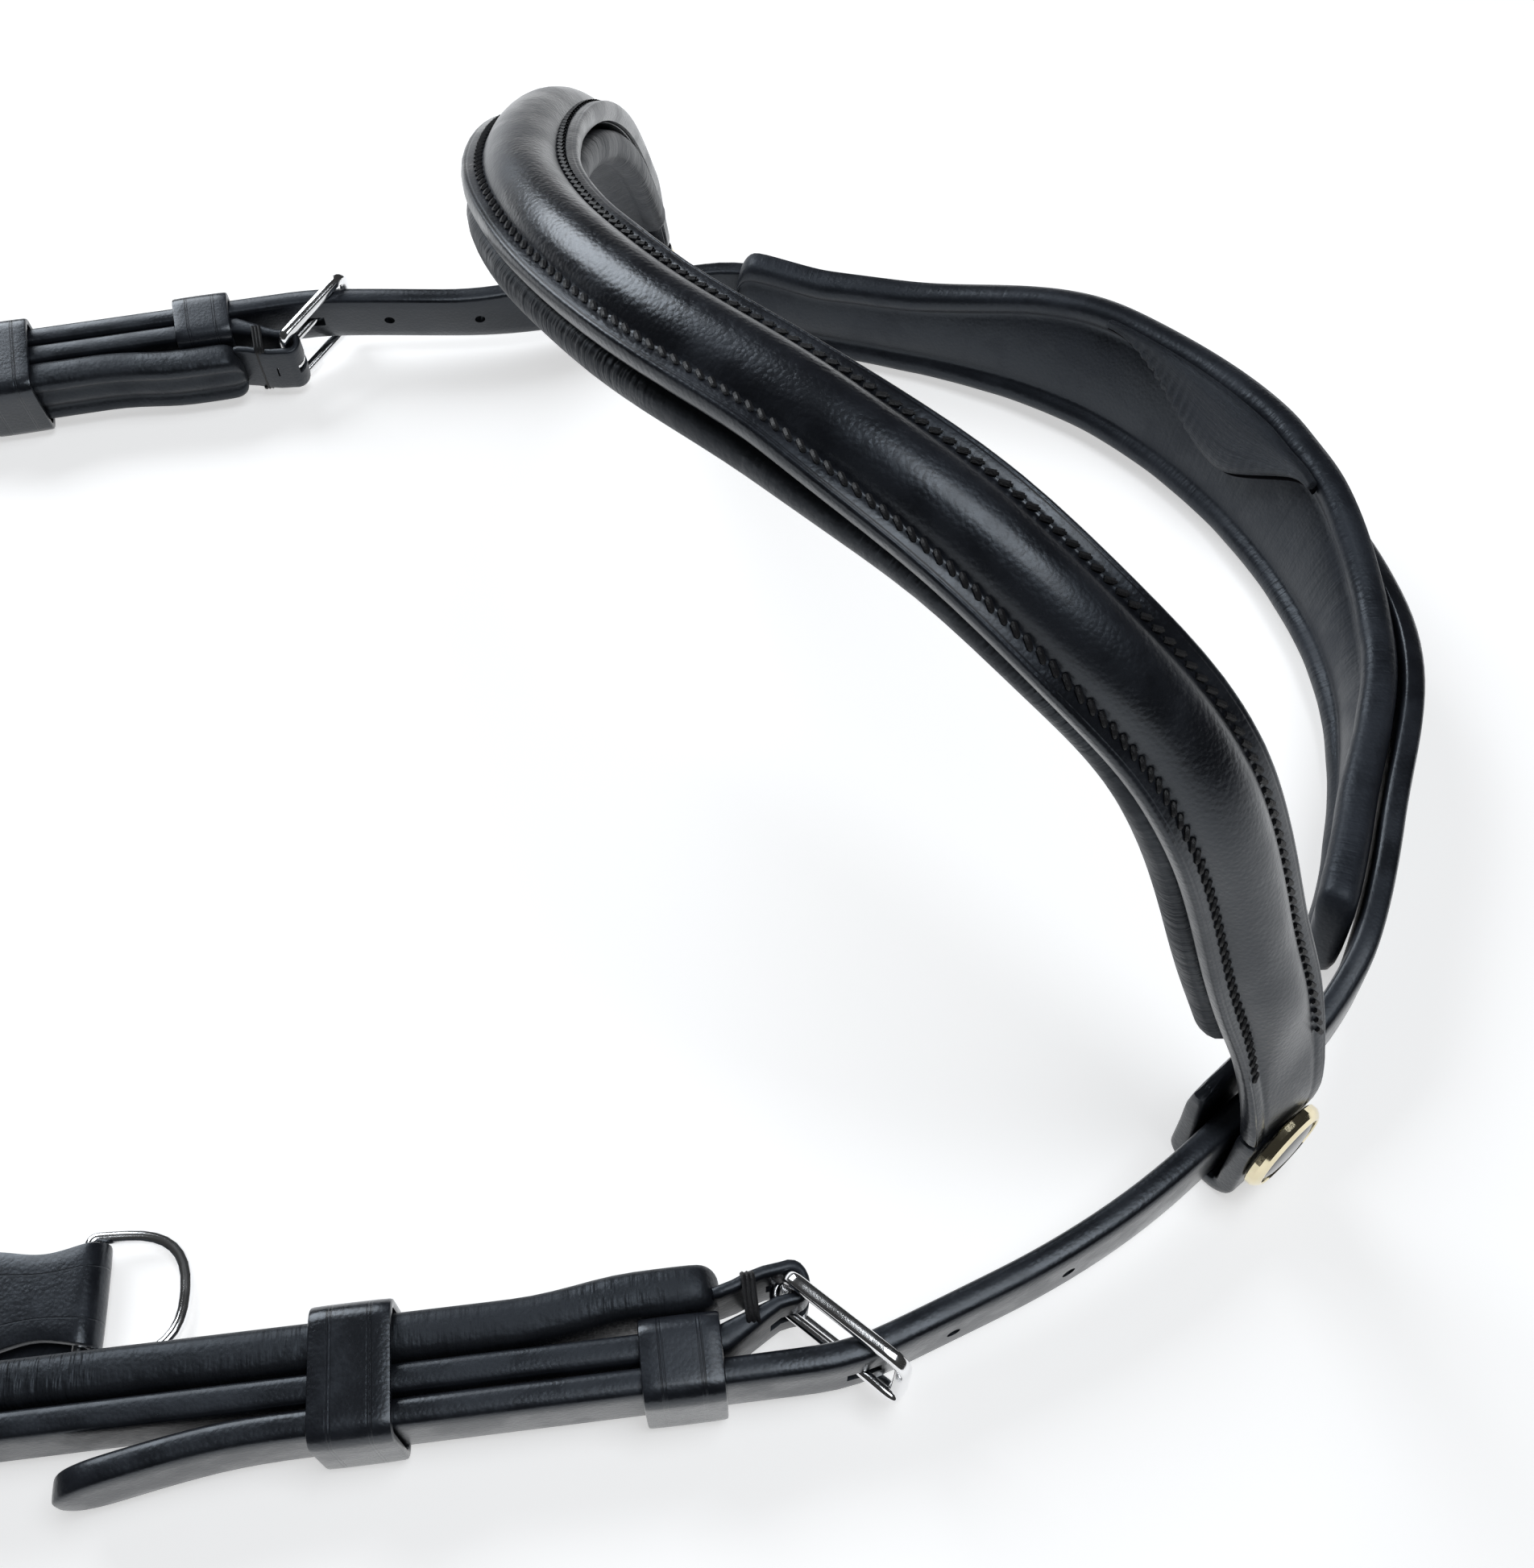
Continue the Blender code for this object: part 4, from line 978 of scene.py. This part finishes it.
def loopTab(side):
    origin = sides[side][0]
    inside = strapThick / 2 + lay["loopSlack"]
    front, back = -inside - lay["bandThick"] / 2, inside + lay["loopWall"] / 2
    floor = -gap - lay["loopWall"] / 2
    bendBy = band["loopBend"]
    points = [(front, band["loopTop"] + 2.5 * mm, 0.0), (front, band["loopLow"], 0.0)]
    for middle, first in ((front + bendBy, 180), (back - bendBy, 270)):
        points += arc(middle, floor + bendBy, bendBy, first, 15, 7, 0.0)
    points += [(back, band["loopLow"], 0.0), (back + 0.2 * mm, 13 * mm, 0.0),
               (back + 0.1 * mm, band["flapTop"], 0.0)]
    half, wide = lay["loopWall"] / 2, lay["loopWide"] / 2

    def thins(mark, full):
        return 1.12 - 0.12 * ramp(mark, 12 * mm, 22 * mm) - 0.3 * ramp(mark, full - 6 * mm, full)

    settle(alongPath(side + "LoopTab", points, rounded(-half, half, -wide, wide, 0.9 * mm),
                     frameAt(origin) @ upright, step=2 * mm, wide=thins), "tab")


stud = inMm(radius=8, thick=2.4, at=10, inlay=6.2) | {
    "rim": ((0.0, 0.97), (0.25, 1.0), (1.2, 1.0), (1.85, 0.95), (2.35, 0.87), (2.4, 0.835)),
    "seat": ((2.2, 0.35), (0.9, 0.3)),
    "dome": ((1.0, 0.98), (1.7, 1.0), (2.1, 0.93), (2.4, 0.76), (2.6, 0.5), (2.68, 0.2)),
}


def studOn(side):
    origin = sides[side][0]
    face = -strapThick / 2 - lay["loopSlack"] - lay["bandThick"]
    cap = frameAt(origin, face - gap - stud["thick"] / 2, stud["at"]) @ spin(90)
    low, inlay = -stud["thick"] / 2, stud["inlay"]
    rows = [(low + up * mm, stud["radius"] * share) for up, share in stud["rim"]]
    rows += [(low + up * mm, inlay + out * mm) for up, out in stud["seat"]]
    settle(turned(side + "StudBezel", 28, rows, cap, 12), "gold", side + "_stud_bezel")
    rows = [(low + up * mm, inlay * share) for up, share in stud["dome"]]
    settle(turned(side + "StudInlay", 40, rows, cap), "enamel", side + "_stud_inlay")


browbandFront()
browbandLining()
for side in sides:
    loopTab(side)
    studOn(side)
for label, sign in (("Upper", 1), ("Lower", -1)):
    stitchRow("browband" + label + "Stitches", archGuide, band["stitchFrom"], archLong - band["stitchFrom"],
              band["thick"] / 2 + stitch["lift"], sign * band["stitchAt"], sign * stitch["slant"])
print("browband made")


# Noseband front between the cheekpieces, with its ring tabs and rings
nose = inMm(wide=22, endWide=17, lining=5, tab=24, ringLong=15, ringWide=19.5, roll=5.8, wire=1.1, tuck=7.5,
            stitchFrom=3.5, stitchOut=0.55, ringCorner=1.5) | {
    "rises": (9 * mm, 33 * mm),
}
noseSpans = [(share * lay["noseLength"], turn) for share, turn in lay["noseSpans"]]
noseRows = walk(lay["noseStart"], 180 + lay["noseHeading"], noseSpans, 1)
noseGuide = layGuide("noseGuide", [(x, y, 0.0) for _, x, y, _ in noseRows])


def noseWidth(place):
    inside = min(place, lay["noseLength"] - place)
    return nose["endWide"] + (nose["wide"] - nose["endWide"]) * ramp(inside, 0.0, nose["wide"] * 2)


def nosebandFront():
    lift, full, long = nose["lining"] + gap + band["thick"] / 2, nose["wide"], lay["noseLength"]
    outline = [(up, out) for out, up in bandOutline(full / 2, nose["roll"], band["rollHigh"])]
    places = [0.0, 0.4 * mm] + evenly(1.4 * mm, long - 1.4 * mm, 5 * mm) + [long - 0.4 * mm, long]
    stations = [station(place, 0.0, noseWidth(place) / full, 1.0, lift) for place in places]

    def fading(x, out, up):
        face = lift + band["thick"] / 2
        share = ramp(min(x, long - x), *nose["rises"])
        return x, out, up if up <= face else face + (up - face) * share

    dress("nosebandFront", "nose", "nose_front", noseGuide, outline, stations, fading)
    for label, sign in (("Outer", 1), ("Inner", -1)):
        stitchRow("noseband" + label + "Stitches", noseGuide, nose["stitchFrom"], long - nose["stitchFrom"],
                  sign * (nose["roll"] + nose["stitchOut"]), lift + band["thick"] / 2 + stitch["lift"],
                  -sign * stitch["slant"], "Z")


def nosebandLining():
    half, thick = nose["wide"] / 2 + gap, nose["lining"]
    inner = [(half * 0.6, 0.0), (half - 1.2 * mm, 0.5 * mm), (half - 0.1 * mm, 1.7 * mm), (half, 2.9 * mm),
             (half - 0.5 * mm, 4.2 * mm), (half - 1.7 * mm, thick), (half * 0.5, thick - 0.1 * mm)]
    outer = [(-out, up) for out, up in reversed(inner)]
    outline = outer[5:] + [(0.0, 0.0)] + inner + [(0.0, thick - 0.1 * mm)] + outer[:5]
    low, high = nose["endWide"] / 2, lay["noseLength"] - nose["endWide"] / 2
    stations = [station(place, 0.0, (noseWidth(place) / nose["wide"]) * (0.8 + 0.2 * share), 0.6 + 0.4 * share)
                for place, share in softEnds(low, high, 4 * mm, 5 * mm)]
    piece = dress("nosebandLining", "lining", "nose_lining", noseGuide, outline, stations)


def ringAndTab(side, place, heading):
    put = Matrix.Translation((*place, 0.0)) @ spin(heading, "Z")
    fold = cheek["fold"]
    turnedBy = nose["wire"] + cheek["play"] + fold / 2
    lift = turnedBy + fold / 2
    tucked = nose["lining"] + gap / 2 - fold / 2
    points = [(-nose["tuck"], tucked, 0.0)]
    for i in range(6):
        raised = (lift + turnedBy - tucked) * ramp(i / 5, 0.0, 1.0)
        points.append((nose["tab"] * 0.07 * i, tucked + raised, 0.0))
    points.append((nose["tab"] * 0.8, lift + turnedBy, 0.0))
    points += arc(nose["tab"], lift, turnedBy, 90, -18, 11, 0.0)
    points.append((nose["tab"] * 0.4, lift - turnedBy, 0.0))
    wide = nose["endWide"] / 2

    def waisted(mark):
        return 1 - 0.2 * exp(-((mark - nose["tab"] - fold) / (3 * fold)) ** 2)

    settle(alongPath(side + "RingTab", points, rounded(-fold / 2, fold / 2, -wide, wide, 0.6 * mm),
                     put @ spin(90), step=1.5 * mm, tall=waisted), "tab", side + "_ring_tab")
    droop = asin((lift - nose["wire"] - gap) / nose["ringLong"])
    bar = put @ Matrix.Translation((nose["tab"], 0, lift)) @ Matrix.Rotation(droop, 4, "Y")
    long, half = nose["ringLong"], nose["ringWide"] / 2
    corners = ((0, -half), (long, -half), (long, half), (0, half))
    points = roundTurns(corners, (nose["ringCorner"], long * 0.62, long * 0.62, nose["ringCorner"]), 8)
    settle(alongPath(side + "Ring", points, circleOutline(nose["wire"], 10), bar, closed=True, step=2 * mm),
           "chrome", side + "_ring", side + "_ring")


nosebandFront()
nosebandLining()
ringAndTab("near", lay["noseStart"], lay["noseHeading"])
ringAndTab("far", noseRows[-1][1:3], noseRows[-1][3])
print("noseband made")


# Plain studio: white table, soft light, and the camera of the photograph
studio = {
    "camera": (0.0, 0.0, 0.261), "pitch": 54.0, "sensor": 36.0, "lens": 2100 / 1946 * 36, "clip": 0.01,
    "world": 0.70, "floor": (0.79, 0.785, 0.78), "lift": 0.56, "table": 6.0, "drop": 0.05 * mm,
    "lampColour": (0.92, 0.96, 1.0),
    "lamps": (("windowLight", (-0.55, 0.75, 0.75), (0, 0, 0.05), 0.7, 9.0),
              ("overheadLight", (0.35, -0.15, 1.0), (0.05, 0, 0), 0.5, 4.0)),
}


def makeStudio():
    pick()
    bpy.ops.mesh.primitive_plane_add(size=studio["table"], location=(0, 0, -studio["drop"]))
    floor = bpy.context.object
    floor.name = "whiteTable"
    look, tree, shader = newLook("whiteTable", 0.55, specular=0.3)
    feed(shader, "Base Color", (*studio["floor"], 1.0))
    path = tree.nodes.new("ShaderNodeLightPath")
    seen = math2(tree, "MAXIMUM", path.outputs["Is Camera Ray"], path.outputs["Is Glossy Ray"])
    seen = math2(tree, "MAXIMUM", seen, path.outputs["Is Transmission Ray"])
    feed(shader, "Emission Color", (1, 1, 1, 1))
    feed(shader, "Emission Strength", math2(tree, "MULTIPLY", seen, studio["lift"]))
    floor.data.materials.append(look)
    world = bpy.data.worlds.new("softRoom")
    bpy.context.scene.world = world
    world.use_nodes = True
    tree = world.node_tree
    path = tree.nodes.new("ShaderNodeLightPath")
    white = math2(tree, "MAXIMUM", path.outputs["Is Camera Ray"], path.outputs["Is Transmission Ray"])
    feed(tree.nodes["Background"], "Strength", span(tree, white, 0.0, 1.0, studio["world"], 1.0))
    for name, place, aim, size, power in studio["lamps"]:
        lamp = bpy.data.lights.new(name, "AREA")
        lamp.shape, lamp.size, lamp.energy, lamp.color = "SQUARE", size, power, studio["lampColour"]
        light = newObject(name, lamp)
        light.location = place
        light.rotation_euler = (Vector(aim) - Vector(place)).to_track_quat("-Z", "Y").to_euler()
    data = bpy.data.cameras.new("photoCamera")
    camera = newObject("photoCamera", data)
    camera.location = Vector(studio["camera"]) + Vector(lay["shift"])
    camera.rotation_euler = (radians(90 - studio["pitch"]), 0, 0)
    data.sensor_width = studio["sensor"]
    data.lens = studio["lens"]
    data.clip_start = studio["clip"]
    bpy.context.scene.camera = camera
    bpy.context.scene.view_settings.view_transform = "Standard"


makeStudio()
for guide in guides:
    bpy.data.objects.remove(guide)
print("studio made")
